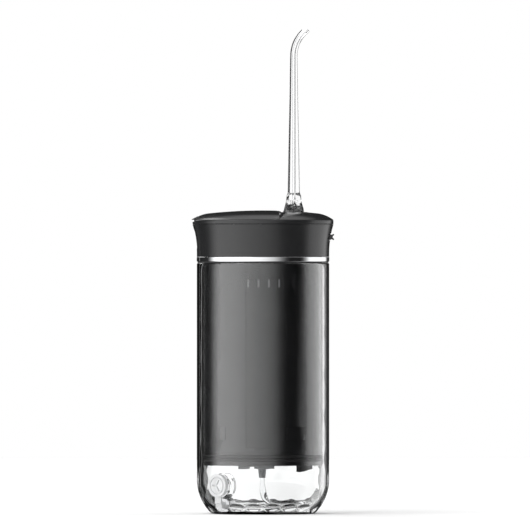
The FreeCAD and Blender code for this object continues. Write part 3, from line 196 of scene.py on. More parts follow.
ramp = add(tree, "ShaderNodeValToRGB")
ramp.color_ramp.elements.remove(ramp.color_ramp.elements[-1])
for index, (degrees, value) in enumerate(PANELS):
    place = (degrees + 180) / 360
    stop = ramp.color_ramp.elements[0] if index == 0 else ramp.color_ramp.elements.new(place)
    stop.position = place
    stop.color = (value / BRIGHTEST,) * 3 + (1,)
link(turn.outputs[0], ramp.inputs["Fac"])
raised_behind = both(slope("Y", 0.45, 0.8), slope("Z", 0.06, 0.16))
colour = over(raised_behind, ramp.outputs["Color"], ABOVE_BACKDROP)
colour = over(slope("Z", 0.6, 0.9), colour, OVERHEAD)
strip = both(both(slope("X", -0.54, -0.46), slope("X", -0.28, -0.34)), slope("Z", 0.2, 0.3))
colour = over(strip, colour, STRIP_LIGHT)

seen = add(tree, "ShaderNodeLightPath")
light = add(tree, "ShaderNodeBackground", input_Strength=BRIGHTEST)
white = add(tree, "ShaderNodeBackground", input_Color=(1, 1, 1, 1), input_Strength=1.0)
choice = add(tree, "ShaderNodeMixShader")
out = add(tree, "ShaderNodeOutputWorld")
link(colour, light.inputs["Color"])
link(seen.outputs["Is Camera Ray"], choice.inputs["Fac"])
link(light.outputs[0], choice.inputs[1])
link(white.outputs[0], choice.inputs[2])
link(choice.outputs[0], out.inputs["Surface"])
bpy.context.scene.world = world
bpy.context.scene.view_settings.view_transform = "Standard"
print("world nodes:", len(tree.nodes))

# %% [markdown]
# ## Shared shader groups
#
# Moulded plastic is never perfectly even. Two small node groups give that life to every
# material: `fine_grain` is the texture a mould leaves, and `handling` is the faint cloudiness
# that fingers and water leave on a polished surface. Each material places them with its own
# scale and strength, and they put out only values that change over the surface.


# %% Group: fine grain
def new_group(name, inputs, outputs):
    """Empty shader group with float sockets, and its input and output nodes."""
    group = bpy.data.node_groups.new(name, "ShaderNodeTree")
    for label, value in inputs:
        socket = group.interface.new_socket(label, in_out="INPUT", socket_type="NodeSocketFloat")
        socket.default_value = value
    for label in outputs:
        group.interface.new_socket(label, in_out="OUTPUT", socket_type="NodeSocketFloat")
    return group, group.nodes.new("NodeGroupInput"), group.nodes.new("NodeGroupOutput")


grain_inputs = [("Scale", 4000.0), ("Roughness Low", 0.3), ("Roughness High", 0.4)]
grain_group, given, made = new_group("fine_grain", grain_inputs, ["Height", "Roughness"])
place = add(grain_group, "ShaderNodeTexCoord")
speckle = add(grain_group, "ShaderNodeTexNoise", input_Detail=2.0, input_Roughness=0.6)
spread = add(grain_group, "ShaderNodeMapRange", input_From_Min=0.3, input_From_Max=0.7)
link = grain_group.links.new
link(place.outputs["Object"], speckle.inputs["Vector"])
link(given.outputs["Scale"], speckle.inputs["Scale"])
link(speckle.outputs["Fac"], spread.inputs["Value"])
link(given.outputs["Roughness Low"], spread.inputs["To Min"])
link(given.outputs["Roughness High"], spread.inputs["To Max"])
link(speckle.outputs["Fac"], made.inputs["Height"])
link(spread.outputs[0], made.inputs["Roughness"])
print("nodes in fine_grain:", len(grain_group.nodes))

# %% Group: handling
handling_inputs = [("Scale", 60.0), ("Clean", 0.03), ("Hazy", 0.1)]
handling_group, given, made = new_group("handling", handling_inputs, ["Roughness", "Mask"])
place = add(handling_group, "ShaderNodeTexCoord")
cloud = add(handling_group, "ShaderNodeTexNoise", input_Detail=4.0, input_Roughness=0.55,
            input_Distortion=0.8)
patch = add(handling_group, "ShaderNodeMapRange", input_From_Min=0.45, input_From_Max=0.75)
spread = add(handling_group, "ShaderNodeMapRange")
link = handling_group.links.new
link(place.outputs["Object"], cloud.inputs["Vector"])
link(given.outputs["Scale"], cloud.inputs["Scale"])
link(cloud.outputs["Fac"], patch.inputs["Value"])
link(patch.outputs[0], spread.inputs["Value"])
link(given.outputs["Clean"], spread.inputs["To Min"])
link(given.outputs["Hazy"], spread.inputs["To Max"])
link(spread.outputs[0], made.inputs["Roughness"])
link(patch.outputs[0], made.inputs["Mask"])
print("nodes in handling:", len(handling_group.nodes))

# %% [markdown]
# ## Materials
#
# Each finish is a Principled shader whose constant values sit on its own sockets, with one of
# the groups for roughness and a bump for the grain. Each could be built by hand in the editor,
# but fifteen hand-made trees drift apart. Two builders cover them all: one for grained or satin
# surfaces, one for polished surfaces. Clear plastic is the same shader with full transmission.


# %% Material builders
def principled(name, **values):
    """New material, its node tree and its Principled shader with some sockets set."""
    material = bpy.data.materials.new(name)
    material.use_nodes = True
    shader = material.node_tree.nodes["Principled BSDF"]
    for key, value in values.items():
        shader.inputs[key.replace("_", " ")].default_value = value
    return material, material.node_tree, shader


def use_group(tree, group, **values):
    """Group placed in a tree, with its inputs set."""
    node = tree.nodes.new("ShaderNodeGroup")
    node.node_tree = group
    for key, value in values.items():
        node.inputs[key.replace("_", " ")].default_value = value
    return node


def shaded_colour(tree, shader, colour, mask, amount):
    """Base colour that a mask makes a little lighter, or plain where there is nothing to vary."""
    if amount == 0:
        shader.inputs["Base Color"].default_value = (*colour, 1)
        return
    tint = add(tree, "ShaderNodeMix", data_type="RGBA")
    tint.inputs["A"].default_value = (*colour, 1)
    lighter = [min(1, part * (1 + amount) + amount * 0.01) for part in colour]
    tint.inputs["B"].default_value = (*lighter, 1)
    tree.links.new(mask, tint.inputs["Factor"])
    tree.links.new(tint.outputs["Result"], shader.inputs["Base Color"])


def grained(name, colour, low, high, scale=4000.0, depth=0.004, variation=0.15, **values):
    """Satin or matte surface with the grain of its mould or its making."""
    material, tree, shader = principled(name, **values)
    grain = use_group(tree, grain_group, Scale=scale, Roughness_Low=low, Roughness_High=high)
    bump = add(tree, "ShaderNodeBump", input_Strength=0.35, input_Distance=depth * MM)
    tree.links.new(grain.outputs["Height"], bump.inputs["Height"])
    tree.links.new(grain.outputs["Roughness"], shader.inputs["Roughness"])
    tree.links.new(bump.outputs["Normal"], shader.inputs["Normal"])
    shaded_colour(tree, shader, colour, grain.outputs["Height"], variation)
    return material


def polished(name, colour, clean, hazy, scale=60.0, variation=0.1, **values):
    """Polished surface with faint cloudy patches."""
    material, tree, shader = principled(name, **values)
    touch = use_group(tree, handling_group, Scale=scale, Clean=clean, Hazy=hazy)
    tree.links.new(touch.outputs["Roughness"], shader.inputs["Roughness"])
    shaded_colour(tree, shader, colour, touch.outputs["Mask"], variation)
    return material


# %% Finishes
clear_tank = polished("clear_tank_plastic", (0.985, 0.99, 0.99), 0.0, 0.02, variation=0.0,
                      Transmission_Weight=1.0, IOR=1.49)
clear_nozzle = polished("clear_nozzle_plastic", (0.985, 0.988, 0.99), 0.0, 0.02, variation=0.0,
                        Transmission_Weight=1.0, IOR=1.58)
silicone = grained("clear_silicone", (0.88, 0.885, 0.89), 0.25, 0.35, depth=0.002, variation=0.0,
                   Transmission_Weight=0.45, IOR=1.41)
clear_hose = grained("clear_hose_tube", (0.95, 0.955, 0.96), 0.03, 0.06, depth=0.001, variation=0.0,
                     Transmission_Weight=1.0, IOR=1.3)
chrome = polished("bright_trim", (0.82, 0.83, 0.84), 0.03, 0.08, Metallic=1.0)
head_plastic = grained("dark_head_plastic", (0.015, 0.0152, 0.0158), 0.16, 0.22, depth=0.002, IOR=1.5)
gloss_body = polished("dark_gloss_body", (0.018, 0.0182, 0.019), 0.02, 0.06, IOR=1.5)
gloss_strip = polished("control_strip_gloss", (0.016, 0.0162, 0.017), 0.03, 0.07, IOR=1.5)
light_guide = polished("smoked_light_guide", (0.14, 0.14, 0.145), 0.1, 0.16, IOR=1.5)
rubber = grained("black_rubber", (0.012, 0.012, 0.0125), 0.55, 0.7, depth=0.008)
inner_plastic = grained("grey_inner_plastic", (0.16, 0.165, 0.17), 0.4, 0.52)
acetal = grained("white_acetal", (0.72, 0.72, 0.7), 0.36, 0.46, depth=0.003, variation=0.05)
steel = grained("turned_steel", (0.55, 0.55, 0.56), 0.2, 0.34, scale=2500.0, depth=0.002,
                variation=0.1, Metallic=1.0)
board = grained("circuit_board", (0.01, 0.09, 0.04), 0.3, 0.45, scale=900.0, depth=0.01, variation=0.4)
cell_wrap = grained("cell_wrap", (0.03, 0.09, 0.22), 0.3, 0.38, scale=700.0, depth=0.01, variation=0.1)
FINISHES = {
    "clear_tank": clear_tank, "clear_nozzle": clear_nozzle, "clear_silicone": silicone,
    "chrome_trim": chrome, "dark_head": head_plastic, "dark_gloss": gloss_body,
    "light_guide": light_guide, "black_rubber": rubber, "grey_plastic": inner_plastic,
    "white_acetal": acetal, "steel": steel, "circuit_board": board, "cell_wrap": cell_wrap,
}
slot_of = {s["node"]: s["material_slot"] for s in frame["record"]["subparts"]}
for name, node in nodes.items():
    node.data.materials.clear()
    node.data.materials.append(FINISHES[slot_of[name]])
print("finishes:", len(FINISHES), "nodes painted:", len(nodes))

# %% [markdown]
# ## Tools for turned pieces
#
# Most of this object is turned: the tank, the ring, the head, the nozzle. Each starts as an
# outline in the XZ plane that `bmesh.ops.spin` takes once round the axis. A Screw modifier would
# do the same, but a spun mesh can be reshaped vertex by vertex afterwards. An outline is a few
# corners, each with its own radius, and `softened` rounds them, because no moulded edge is sharp.


# %% Outline and spin helpers
def softened(corners, arc_steps=5):
    """Outline through corners (x, z, radius) in MM, with each corner rounded; the ends stay."""
    points = [Vector(corners[0][:2])]
    for before, (x, z, radius), after in zip(corners, corners[1:], corners[2:]):
        corner = Vector((x, z))
        back = (Vector(before[:2]) - corner).normalized()
        ahead = (Vector(after[:2]) - corner).normalized()
        half = back.angle(ahead) / 2
        if radius == 0 or math.pi / 2 - half < 0.01:
            points.append(corner)
            continue
        centre = corner + (back + ahead).normalized() * radius / math.sin(half)
        start = corner + back * radius / math.tan(half) - centre
        end = corner + ahead * radius / math.tan(half) - centre
        for step in range(arc_steps + 1):
            share = step / arc_steps
            points.append(centre + start.slerp(end, share).normalized() * radius)
    return points + [Vector(corners[-1][:2])]


def bend(centre, radius, start, end, steps):
    """Points on an arc from start to end, in degrees from +X towards +Z, without its ends."""
    points = []
    for step in range(1, steps):
        angle = math.radians(start + (end - start) * step / steps)
        points.append((centre[0] + radius * math.cos(angle), centre[1] + radius * math.sin(angle), 0))
    return points


def spun(outline, steps=160):
    """Bmesh of an outline, in MM, taken once round the Z axis, with its doubles merged."""
    bm = bmesh.new()
    ring = [bm.verts.new((p[0] * MM, 0, p[1] * MM)) for p in outline]
    edges = [bm.edges.new(pair) for pair in zip(ring, ring[1:])]
    bmesh.ops.spin(bm, geom=ring + edges, cent=(0, 0, 0), axis=(0, 0, 1), dvec=(0, 0, 0),
                   angle=math.tau, steps=steps, use_merge=True)
    bmesh.ops.remove_doubles(bm, verts=bm.verts, dist=MERGE)
    bmesh.ops.recalc_face_normals(bm, faces=bm.faces)
    return bm


sample = softened([(0, 0, 0), (10, 0, 2), (10, 10, 0)])
print("points of an L with a rounded corner:", len(sample), "faces when spun:", len(spun(sample).faces))

# %% From bmesh to object
SHARP_DEGREES = 35.0


def as_object(name, bm):
    """Object at the origin that holds a bmesh; the bmesh is freed."""
    mesh = bpy.data.meshes.new(name)
    bm.to_mesh(mesh)
    bm.free()
    made = bpy.data.objects.new(name, mesh)
    bpy.context.scene.collection.objects.link(made)
    return made


def smooth_shaded(mesh, sharp=SHARP_DEGREES):
    """Smooth shading that stops at edges sharper than an angle in degrees."""
    mesh.shade_smooth()
    mesh.set_sharp_from_angle(angle=math.radians(sharp))


def finish_piece(name, bm, material, body, node, sharp=SHARP_DEGREES):
    """Smooth-shaded object with its faces outwards, which rides on a body in a CAD node's place."""
    if bm.calc_volume(signed=True) < 0:
        bmesh.ops.reverse_faces(bm, faces=bm.faces)
    piece = as_object(name, bm)
    piece.data.materials.append(material)
    smooth_shaded(piece.data, sharp)
    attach(piece, body)
    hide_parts(node)
    print(name, "faces:", len(piece.data.polygons))
    return piece


# %% [markdown]
# ## Water tank
#
# The tank is a thick clear cup. Its outside is smooth. Its inside carries a shallow relief of
# tall diamonds, with a row of lens-shaped facets round its foot. Both walls are spun as one
# outline, which starts and ends on the axis. Then the inner wall's vertices are pressed in by a
# pattern of two crossing helices. A bump map would be cheaper, but clear plastic bends light at
# both of its walls, and only real relief does that.

# %% Tank sizes and outline
TANK_R = 30.0
TANK_BORE_R = 27.3
TANK_RIM_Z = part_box("water_tank")[1].z / MM
CORNER_R = 21.3
CORNER_X = TANK_R - CORNER_R
CORNER_Z = 15.5
INNER_CORNER_R = TANK_BORE_R - CORNER_X
FLOOR_Z = 2.2
FOOT_EDGE = (0.25, 0.3)
MIDDLE_ROW_Z = 60.0
RIM_ROUND_OUT = 0.6
RIM_ROUND_IN = 0.5
RELIEF_END = 2.0
DIAMONDS = 18
DIAMOND_H = 19.0
STEPS_PER_DIAMOND = 16

foot_angle = -math.degrees(math.asin(CORNER_Z / CORNER_R))
floor_angle = -math.degrees(math.asin((CORNER_Z - FLOOR_Z) / INNER_CORNER_R))
foot_r = CORNER_X + CORNER_R * math.cos(math.radians(foot_angle))
floor_r = CORNER_X + INNER_CORNER_R * math.cos(math.radians(floor_angle))
row = DIAMOND_H / STEPS_PER_DIAMOND
rows = int((TANK_RIM_Z - RELIEF_END - CORNER_Z) / row)
underside = [(0, 0, 0), (foot_r * 0.5, 0, 0), (foot_r - 0.5, 0, 0), (foot_r + FOOT_EDGE[0], FOOT_EDGE[1], 0)]
outer_corner = bend((CORNER_X, CORNER_Z), CORNER_R, foot_angle + 1.5, 0, 24)
outer_wall = [(TANK_R, CORNER_Z, 0), (TANK_R, MIDDLE_ROW_Z, 0), (TANK_R, TANK_RIM_Z, RIM_ROUND_OUT),
              (TANK_BORE_R, TANK_RIM_Z, RIM_ROUND_IN)]
inner_wall = [(TANK_BORE_R, CORNER_Z + row * n, 0) for n in range(rows, -1, -1)]
inner_corner = bend((CORNER_X, CORNER_Z), INNER_CORNER_R, 0, floor_angle, 40)
tank_floor = [(floor_r, FLOOR_Z, 0), (floor_r - 1.5, FLOOR_Z, 0), (floor_r * 0.5, FLOOR_Z, 0),
              (0, FLOOR_Z, 0)]
tank_outline = softened(underside + outer_corner + outer_wall + inner_wall + inner_corner + tank_floor)
print("tank outline points:", len(tank_outline), "rows:", rows)


# %% Tank relief
FACETS = 18
FACET_LEAN = -0.69
FACET_HALF_H = 2.1
FACET_DEPTH = 0.42
RELIEF_STAGES = [(-9, 0.0), (-7, 0.07), (0, 0.05), (30, 0.02), (60, 0.012), (95, 0.008), (100, 0.0)]
ON_WALL = 0.02


def relief_depth(height):
    """Depth of the diamonds in mm at a height along the wall, measured from the corner up."""
    for (low, a), (high, b) in zip(RELIEF_STAGES, RELIEF_STAGES[1:]):
        if height <= high:
            return a + (b - a) * max(0, height - low) / (high - low)
    return 0.0


def diamond(around, height):
    """Pillow between two crossing helices: 1 in the middle of a diamond, 0 on its borders."""
    pillow = 1.0
    for strand in (around + height / DIAMOND_H, around - height / DIAMOND_H):
        pillow *= 1 - (2 * abs(strand % 1 - 0.5)) ** 2.5
    return pillow


def facet(around, lean):
    """Lens-shaped cut at the foot of the wall: 1 in its middle, with a crisp border."""
    across = 2 * abs(around % 1 - 0.5)
    along = (lean - FACET_LEAN) * INNER_CORNER_R / FACET_HALF_H
    return max(0.0, 1 - across ** 2 - along ** 2)


def press_relief(bm):
    """Moves the inner wall's vertices inwards by the diamonds and by the row of foot facets."""
    pressed = 0
    for vert in bm.verts:
        r, z = math.hypot(vert.co.x, vert.co.y) / MM, vert.co.z / MM
        lean = 0.0
        off_corner = abs(math.hypot(r - CORNER_X, z - CORNER_Z) - INNER_CORNER_R)
        if CORNER_Z <= z < TANK_RIM_Z - RELIEF_END / 2 and abs(r - TANK_BORE_R) < ON_WALL:
            height = z - CORNER_Z
        elif z < CORNER_Z and off_corner < ON_WALL:
            lean = math.atan2(z - CORNER_Z, r - CORNER_X)
            height = lean * INNER_CORNER_R
        else:
            continue
        around = math.atan2(vert.co.y, vert.co.x) / math.tau + 0.25
        depth = relief_depth(height) * diamond(DIAMONDS * around, height)
        depth += FACET_DEPTH * facet(FACETS * around, lean)
        outward = Vector((vert.co.x, vert.co.y, 0)).normalized()
        into_wall = outward * math.cos(lean) + Vector((0, 0, math.sin(lean)))
        vert.co -= into_wall * depth * MM
        pressed += 1
    return pressed


tank = spun(tank_outline, steps=DIAMONDS * STEPS_PER_DIAMOND)
print("vertices pressed:", press_relief(tank))

# %% [markdown]
# ## Fill port
#
# Low on the tank's front left a round boss stands in the curved wall, with the filling hole
# through it. A boss on a spun wall is hard to model by hand, so a round bar is joined on and a
# thinner one is cut away with Boolean modifiers, which are applied at once.

# %% Fill port
PORT_ANGLE = math.radians(40.3)
PORT_Z = 13.1
PORT_FACE = 30.3
BOSS_R = 5.6
BOSS_ROOT = 24.8
PORT_BORE_R = 3.5
BORE_ENDS = (20.0, 34.0)
port_out = Vector((-math.sin(PORT_ANGLE), -math.cos(PORT_ANGLE), 0))
port_turn = port_out.to_track_quat("Z", "Y").to_matrix().to_4x4()
PORT_FRAME = Matrix.Translation((0, 0, PORT_Z * MM)) @ port_turn


def port_tool(name, radius, near, far):
    """Round bar along the port's axis, used to join on or cut away."""
    bm = spun([(0, near), (radius, near), (radius, far), (0, far)], steps=64)
    bm.transform(PORT_FRAME)
    return as_object(name, bm)


def combine(piece, tool, operation):
    """Boolean between two closed meshes, applied at once, after which the tool is gone."""
    change = piece.modifiers.new(operation, "BOOLEAN")
    change.operation, change.object, change.solver = operation, tool, "EXACT"
    bpy.context.view_layer.update()
    evaluated = piece.evaluated_get(bpy.context.evaluated_depsgraph_get())
    result = bpy.data.meshes.new_from_object(evaluated)
    piece.modifiers.clear()
    smooth_shaded(result)
    piece.data = result
    bpy.data.objects.remove(tool)


tank_piece = finish_piece("tank_shell", tank, clear_tank, "tank", "water_tank")
combine(tank_piece, port_tool("boss", BOSS_R, BOSS_ROOT, PORT_FACE), "UNION")
combine(tank_piece, port_tool("bore", PORT_BORE_R, *BORE_ENDS), "DIFFERENCE")
print("tank faces:", len(tank_piece.data.polygons))

# %% [markdown]
# ## Bright ring
#
# A plated ring parts the clear tank from the dark head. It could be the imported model's own ring,
# but that is cut into flats, and plating is a mirror that shows each of them. Spun in many fine
# steps, its wall is dead straight up and down, and only its edges are rounded.

# %% Ring
ring_low, ring_high = (corner.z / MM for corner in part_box("trim_ring"))
RING_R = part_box("trim_ring")[1].x / MM
RING_BORE_R = 27.5
RING_EDGE = 0.12
RING_STEPS = 192
bore_seam = (RING_BORE_R, ring_low + 1, 0)
ring_corners = [(RING_BORE_R, ring_low, RING_EDGE), (RING_R, ring_low, RING_EDGE),
                (RING_R, ring_high, RING_EDGE), (RING_BORE_R, ring_high, RING_EDGE)]
ring = spun(softened([bore_seam, *ring_corners, bore_seam]), steps=RING_STEPS)
finish_piece("bright_ring", ring, chrome, "main_unit", "trim_ring")

# %% [markdown]
# ## Nozzle
#
# A clear tube that tapers for most of its height, then bends and ends in a fine tip. A bevelled
# curve could make it, but not its stepped stem, its flared foot and its bore in one skin. So the
# straight part is spun with its bore, the top ring is spun again round the centre of the bend,
# and the last ring is extruded to the tip. Small ribs round its foot give fingers a grip.

# %% Nozzle
def rows_every(outline, spacing):
    """Outline with extra points wherever two are further apart than the spacing, in MM."""
    points = [Vector(outline[0][:2])]
    for point in outline[1:]:
        start, end = points[-1].copy(), Vector(point[:2])
        count = max(1, math.ceil((end - start).length / spacing))
        points += [start.lerp(end, step / count) for step in range(1, count + 1)]
    return points


NOZZLE_X = 13.95
BEND_Z = 207.5
BEND_R = 15.1
BEND_DEGREES = 47.0
TIP_L = 1.84
RIBS = 24
RIB_LOW = 136.5
RIB_HIGH = 142.6
RIB_DEPTH = 0.7
RIB_STEPS = 6
FOOT_TOP_Z = 147.5
FOOT_ROWS = 0.5
NOZZLE_BORE_R = 0.5
bottom_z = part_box("nozzle")[0].z / MM
stem = [(NOZZLE_BORE_R, bottom_z, 0), (3.0, bottom_z, 0.3), (3.0, 124.5, 0), (2.3, 124.9, 0),
        (2.3, 125.9, 0), (3.0, 126.3, 0), (3.0, 128.0, 0)]
collar = [(4.65, 128.0, 0.3), (4.65, 136.5, 0), (4.65, 137.0, 0)]
flare = [(4.6, 137.5, 0), (4.5, 138.0, 0), (4.4, 138.5, 0), (4.25, 139.0, 0), (4.1, 139.4, 0),
         (4.0, 139.8, 0), (3.85, 140.3, 0), (3.65, 141.2, 0), (3.5, 142.2, 0), (3.35, 143.6, 0),
         (3.2, 144.4, 0), (2.9, 144.9, 0), (2.76, 145.4, 0)]
taper = [(2.72, FOOT_TOP_Z, 0), (2.41, 165.0, 0), (1.94, 187.5, 0), (1.75, 201.0, 0), (1.65, BEND_Z, 0)]
outer = softened(stem + collar + flare + taper)
foot = [p for p in outer if p[1] <= FOOT_TOP_Z]
outer = rows_every(foot, FOOT_ROWS) + outer[len(foot):]
nozzle = bmesh.new()
walls = []
for line in (outer, [(NOZZLE_BORE_R, bottom_z), (NOZZLE_BORE_R, BEND_Z)]):
    verts = [nozzle.verts.new((p[0] * MM, 0, p[1] * MM)) for p in line]
    walls.append((verts, [nozzle.edges.new(pair) for pair in zip(verts, verts[1:])]))
for verts, edges in walls:
    bmesh.ops.spin(nozzle, geom=verts + edges, cent=(0, 0, 0), axis=(0, 0, 1), dvec=(0, 0, 0),
                   angle=math.tau, steps=RIBS * RIB_STEPS, use_merge=True)
bmesh.ops.remove_doubles(nozzle, verts=nozzle.verts, dist=MERGE)
print("nozzle vertices before the bend:", len(nozzle.verts))

# %% Nozzle ribs
for vert in nozzle.verts:
    z, r = vert.co.z / MM, math.hypot(vert.co.x, vert.co.y) / MM
    if RIB_LOW < z < RIB_HIGH and r > 3.0:
        swell = math.sin(math.pi * (z - RIB_LOW) / (RIB_HIGH - RIB_LOW)) * RIB_DEPTH
        valley = 0.5 + 0.5 * math.cos(RIBS * math.atan2(vert.co.y, vert.co.x))
        grow = 1 - swell * valley / r
        vert.co.x *= grow
        vert.co.y *= grow
print("ribs:", RIBS, "between heights in mm:", RIB_LOW, RIB_HIGH)

# %% Nozzle bend and tip
bmesh.ops.translate(nozzle, verts=nozzle.verts, vec=(NOZZLE_X * MM, 0, 0))
top = [e for e in nozzle.edges if all(abs(v.co.z / MM - BEND_Z) < 0.01 for v in e.verts)]
bend_centre = ((NOZZLE_X + BEND_R) * MM, 0, BEND_Z * MM)
turned = bmesh.ops.spin(nozzle, geom=top, cent=bend_centre, axis=(0, 1, 0), dvec=(0, 0, 0),
                        angle=math.radians(BEND_DEGREES), steps=20)
last = [g for g in turned["geom_last"] if isinstance(g, bmesh.types.BMEdge)]
tip = bmesh.ops.extrude_edge_only(nozzle, edges=last)["geom"]
lean = math.radians(BEND_DEGREES)
ahead = Vector((math.sin(lean), 0, math.cos(lean)))
tip_verts = [g for g in tip if isinstance(g, bmesh.types.BMVert)]
bmesh.ops.translate(nozzle, verts=tip_verts, vec=ahead * TIP_L * MM)
tip_edges = [g for g in tip if isinstance(g, bmesh.types.BMEdge) and set(g.verts) <= set(tip_verts)]
bmesh.ops.bridge_loops(nozzle, edges=tip_edges)
bmesh.ops.remove_doubles(nozzle, verts=nozzle.verts, dist=MERGE)
bmesh.ops.recalc_face_normals(nozzle, faces=nozzle.faces)
print("nozzle volume in mm3:", round(abs(nozzle.calc_volume(signed=True)) / MM ** 3, 1),
      "open edges:", sum(not e.is_manifold for e in nozzle.edges))
finish_piece("nozzle_tube", nozzle, clear_nozzle, "spray_tip", "nozzle")

# %% [markdown]
# ## Suction hose
#
# The hose is soft and hangs from the spigot under the main unit, then lies round the tank's
# floor to its strainer weight. It is one smooth NURBS line led by the points of its solid's
# route. A curve with a bevel is the easy way to draw a tube, and here it is turned into a mesh.
# The hose has to stretch between the tank and the main unit when they part, but this mesh stays where it is.

# %% Hose
HOSE_D = 2.4 * MM
HOSE_POINTS = [(-0.46, 0.0, 16.3), (-0.46, 0.0, 9.2), (2.2, -4.9, 4.6), (9.2, -7.8, 4.1), (16.4, -5.2, 4.1),
               (19.9, 1.5, 4.1), (18.0, 9.1, 4.1), (11.6, 14.1, 4.1), (2.7, 15.4, 4.2), (-6.0, 13.1, 4.3),
               (-12.7, 7.0, 4.5), (-15.0, -0.1, 4.8)]
route = bpy.data.curves.new("hose_route", "CURVE")
route.dimensions = "3D"
spline = route.splines.new("NURBS")
spline.points.add(len(HOSE_POINTS) - 1)
for point, (x, y, z) in zip(spline.points, HOSE_POINTS):
    point.co = (x * MM, y * MM, z * MM, 1)
spline.order_u = 3
spline.use_endpoint_u = True
spline.resolution_u = 12
route_object = bpy.data.objects.new("hose_route", route)
bpy.context.scene.collection.objects.link(route_object)


def curve_mesh():
    """Mesh of the route as it stands: a line of vertices, or a tube once it has a bevel."""
    bpy.context.view_layer.update()
    evaluated = route_object.evaluated_get(bpy.context.evaluated_depsgraph_get())
    return bpy.data.meshes.new_from_object(evaluated)


hose_line = [v.co.copy() for v in curve_mesh().vertices]
route.bevel_depth = HOSE_D / 2
route.bevel_resolution = 6
route.use_fill_caps = True
hose_mesh = curve_mesh()
bpy.data.objects.remove(route_object)
hose_mesh.materials.append(clear_hose)
hose_mesh.shade_smooth()
hose = bpy.data.objects.new("hose", hose_mesh)
bpy.context.scene.collection.objects.link(hose)
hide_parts("suction_hose")
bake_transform(hose)

# %% [markdown]
# ## Smooth copies of machined pieces
#
# The head, its deck and lid, the inner body, the buttons and the plug have a shape that the
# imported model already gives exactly. Modelling them again could only drift from it, so a copy is
# used: its triangles are merged, it is shaded smooth between its sharp edges, and a fine bevel
# catches the light as a moulded edge does.


# %% Smooth copy
FLAT_ENOUGH = math.radians(0.5)
SOFT_EDGES = {
    "head_housing": 0.15, "top_deck": 0.15, "flip_lid": 0.12, "release_button": 0.2, "body_sleeve": 0.06,
    "base_cap": 0.15, "fill_plug": 0.08, "strap_anchor": 0.1, "power_button": 0.25, "mode_button": 0.25,
    "port_cover": 0.25, "inlet_fitting": 0.15, "air_valve": 0.2, "nozzle_turret": 0.15,
}


def smooth_copy(node, width, angle=40.0, segments=2):
    """Copy of a CAD node with merged triangles and softened edges; width is in MM."""
    source = nodes[node]
    bm = bmesh.new()
    bm.from_mesh(source.data)
    bmesh.ops.remove_doubles(bm, verts=bm.verts, dist=MERGE)
    bmesh.ops.dissolve_limit(bm, angle_limit=FLAT_ENOUGH, verts=bm.verts, edges=bm.edges)
    piece = finish_piece(node + "_piece", bm, source.data.materials[0], source["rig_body"], node,
                         sharp=angle)
    bevel = piece.modifiers.new("soft_edges", "BEVEL")
    bevel.width, bevel.segments, bevel.limit_method = width * MM, segments, "ANGLE"
    bevel.angle_limit = math.radians(angle)
    bevel.harden_normals = True


for node, width in SOFT_EDGES.items():
    smooth_copy(node, width)

# %% [markdown]
# ## Release spring
#
# The spring behind the release button stands on a fixed end and shortens by the button's travel,
# so its other end stays against the latch instead of reaching through it. Here its copy is merged
# and rides on the main unit as a rigid part, so it would cut through the latch at each press.

# %% Release spring
spring_bm = bmesh.new()
spring_bm.from_mesh(nodes["release_spring"].data)
bmesh.ops.remove_doubles(spring_bm, verts=spring_bm.verts, dist=MERGE)
spring_piece = finish_piece("release_spring_piece", spring_bm, steel, "main_unit", "release_spring")
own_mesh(spring_piece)

# %% [markdown]
# ## Control strip
#
# The strip on the front is a thin curved plate with fine cross lines and four slots, behind which
# the smoked light pipes stand. The lines could be cut one by one, but they run straight across,
# so its upright section is one face with the lines already notched into it, and a short spin
# sweeps that face round the body's front. The four slots are cut afterwards.

# %% Control strip
STRIP_GAP = 0.22
STRIP_X = (-7.5 + STRIP_GAP, 8.35 - STRIP_GAP)
STRIP_Z = (29.7 + STRIP_GAP, 106.4 - STRIP_GAP)
STRIP_R = (25.75, 26.58)
LINES_Z = (30.8, 32.9, 35.2, 99.8, 100.9)
LINE_W = 0.32
LINE_DEPTH = 0.3
PIPES_X = (-6.5, -1.97, 2.56, 7.09)
SLOT_SIZE = Vector((0.86, 4.0, 3.7))
SLOT_Y = -26.0
SLOT_Z = 104.3
section = [(STRIP_R[0], STRIP_Z[0]), (STRIP_R[1], STRIP_Z[0])]
for z in LINES_Z:
    section += [(STRIP_R[1], z - LINE_W / 2), (STRIP_R[1] - LINE_DEPTH, z - LINE_W / 2),
                (STRIP_R[1] - LINE_DEPTH, z + LINE_W / 2), (STRIP_R[1], z + LINE_W / 2)]
section += [(STRIP_R[1], STRIP_Z[1]), (STRIP_R[0], STRIP_Z[1])]
start, end = (math.asin(x / STRIP_R[1]) for x in STRIP_X)
strip_bm = bmesh.new()
corners = [strip_bm.verts.new((0, -r * MM, z * MM)) for r, z in section]
plate = strip_bm.faces.new(corners)
bmesh.ops.rotate(strip_bm, verts=corners, cent=(0, 0, 0), matrix=Matrix.Rotation(start, 3, "Z"))
bmesh.ops.spin(strip_bm, geom=[*corners, *plate.edges, plate], cent=(0, 0, 0), axis=(0, 0, 1),
               dvec=(0, 0, 0), angle=end - start, steps=24)
bmesh.ops.recalc_face_normals(strip_bm, faces=strip_bm.faces)
strip_piece = finish_piece("control_strip", strip_bm, gloss_strip, "main_unit", "indicator_panel")
for x in PIPES_X:
    slot_bm = bmesh.new()
    bmesh.ops.create_cube(slot_bm, size=1.0)
    bmesh.ops.scale(slot_bm, verts=slot_bm.verts, vec=SLOT_SIZE * MM)
    bmesh.ops.translate(slot_bm, verts=slot_bm.verts, vec=Vector((x, SLOT_Y, SLOT_Z)) * MM)
    combine(strip_piece, as_object("slot", slot_bm), "DIFFERENCE")
print("control strip faces:", len(strip_piece.data.polygons))

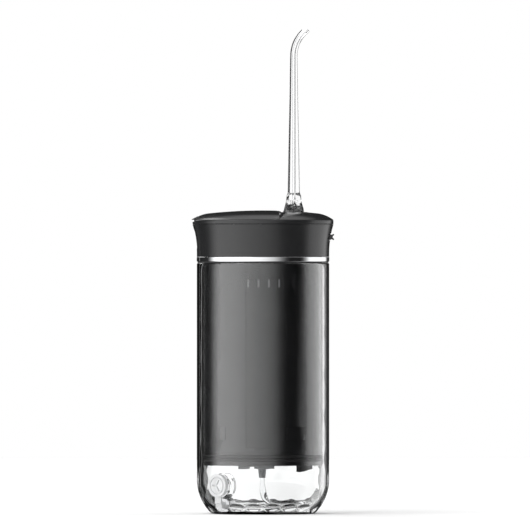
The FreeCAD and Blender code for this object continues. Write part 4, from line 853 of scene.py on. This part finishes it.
# %% [markdown]
# ## Floor
#
# A plain white surface, much larger than the object, that fades into the white behind it. It
# takes the soft shadow, and it could also mirror itself in the ring and the tank, but a studio
# sweep stays out of the reflections, so gloss and clear plastic don't see it.

# %% Floor
FLOOR_R = 1.6
floor_bm = bmesh.new()
bmesh.ops.create_circle(floor_bm, cap_ends=True, segments=64, radius=FLOOR_R)
floor = as_object("floor", floor_bm)
floor_material, _, _ = principled("pale_floor", Base_Color=(0.92, 0.92, 0.92, 1), Roughness=0.9)
floor.data.materials.append(floor_material)
floor.visible_glossy = False
floor.visible_transmission = False
print("floor across in mm:", 2 * FLOOR_R / MM)

# %% [markdown]
# ## Cards behind the clear parts
#
# Clear plastic shows what stands behind it. The world is dark there, which draws the dark outline
# of the tank's wall. Small cards give the clear foot and the nozzle their white ground, and a
# black and a grey one at the sides give the nozzle its edges. The world could do this only by
# lighting everything else too. Only light that has passed through something clear can see the
# cards, so they put no reflection on the dark parts.

# %% Cards
CARD_Y = 60.0
CARDS = {
    "behind_foot": (-38, 38, 1.0, 21.5, 1.05),
    "behind_nozzle": (-52, 48, 118, 240, 1.05),
    "black_right": (48, 700, 118, 240, 0.01),
    "grey_left": (-700, -52, 118, 240, 0.3),
}
for number, (x_low, x_high, z_low, z_high, brightness) in enumerate(CARDS.values()):
    card_bm = bmesh.new()
    bmesh.ops.create_grid(card_bm, x_segments=1, y_segments=1, size=0.5)
    upright = Matrix.Rotation(math.pi / 2, 3, "X")
    middle = Vector(((x_low + x_high) / 2, CARD_Y, (z_low + z_high) / 2)) * MM
    bmesh.ops.scale(card_bm, verts=card_bm.verts, vec=((x_high - x_low) * MM, (z_high - z_low) * MM, 1))
    bmesh.ops.rotate(card_bm, verts=card_bm.verts, cent=(0, 0, 0), matrix=upright)
    bmesh.ops.translate(card_bm, verts=card_bm.verts, vec=middle)
    card = as_object(f"card_{number}", card_bm)
    card_material, _, _ = principled(f"card_{number}", Base_Color=(0, 0, 0, 1), Specular_IOR_Level=0.0,
                                     Emission_Color=(1, 1, 1, 1), Emission_Strength=brightness)
    card.data.materials.append(card_material)
    card.visible_camera = False
    card.visible_diffuse = False
    card.visible_glossy = False
    card.visible_shadow = False
print("cards:", len(CARDS))
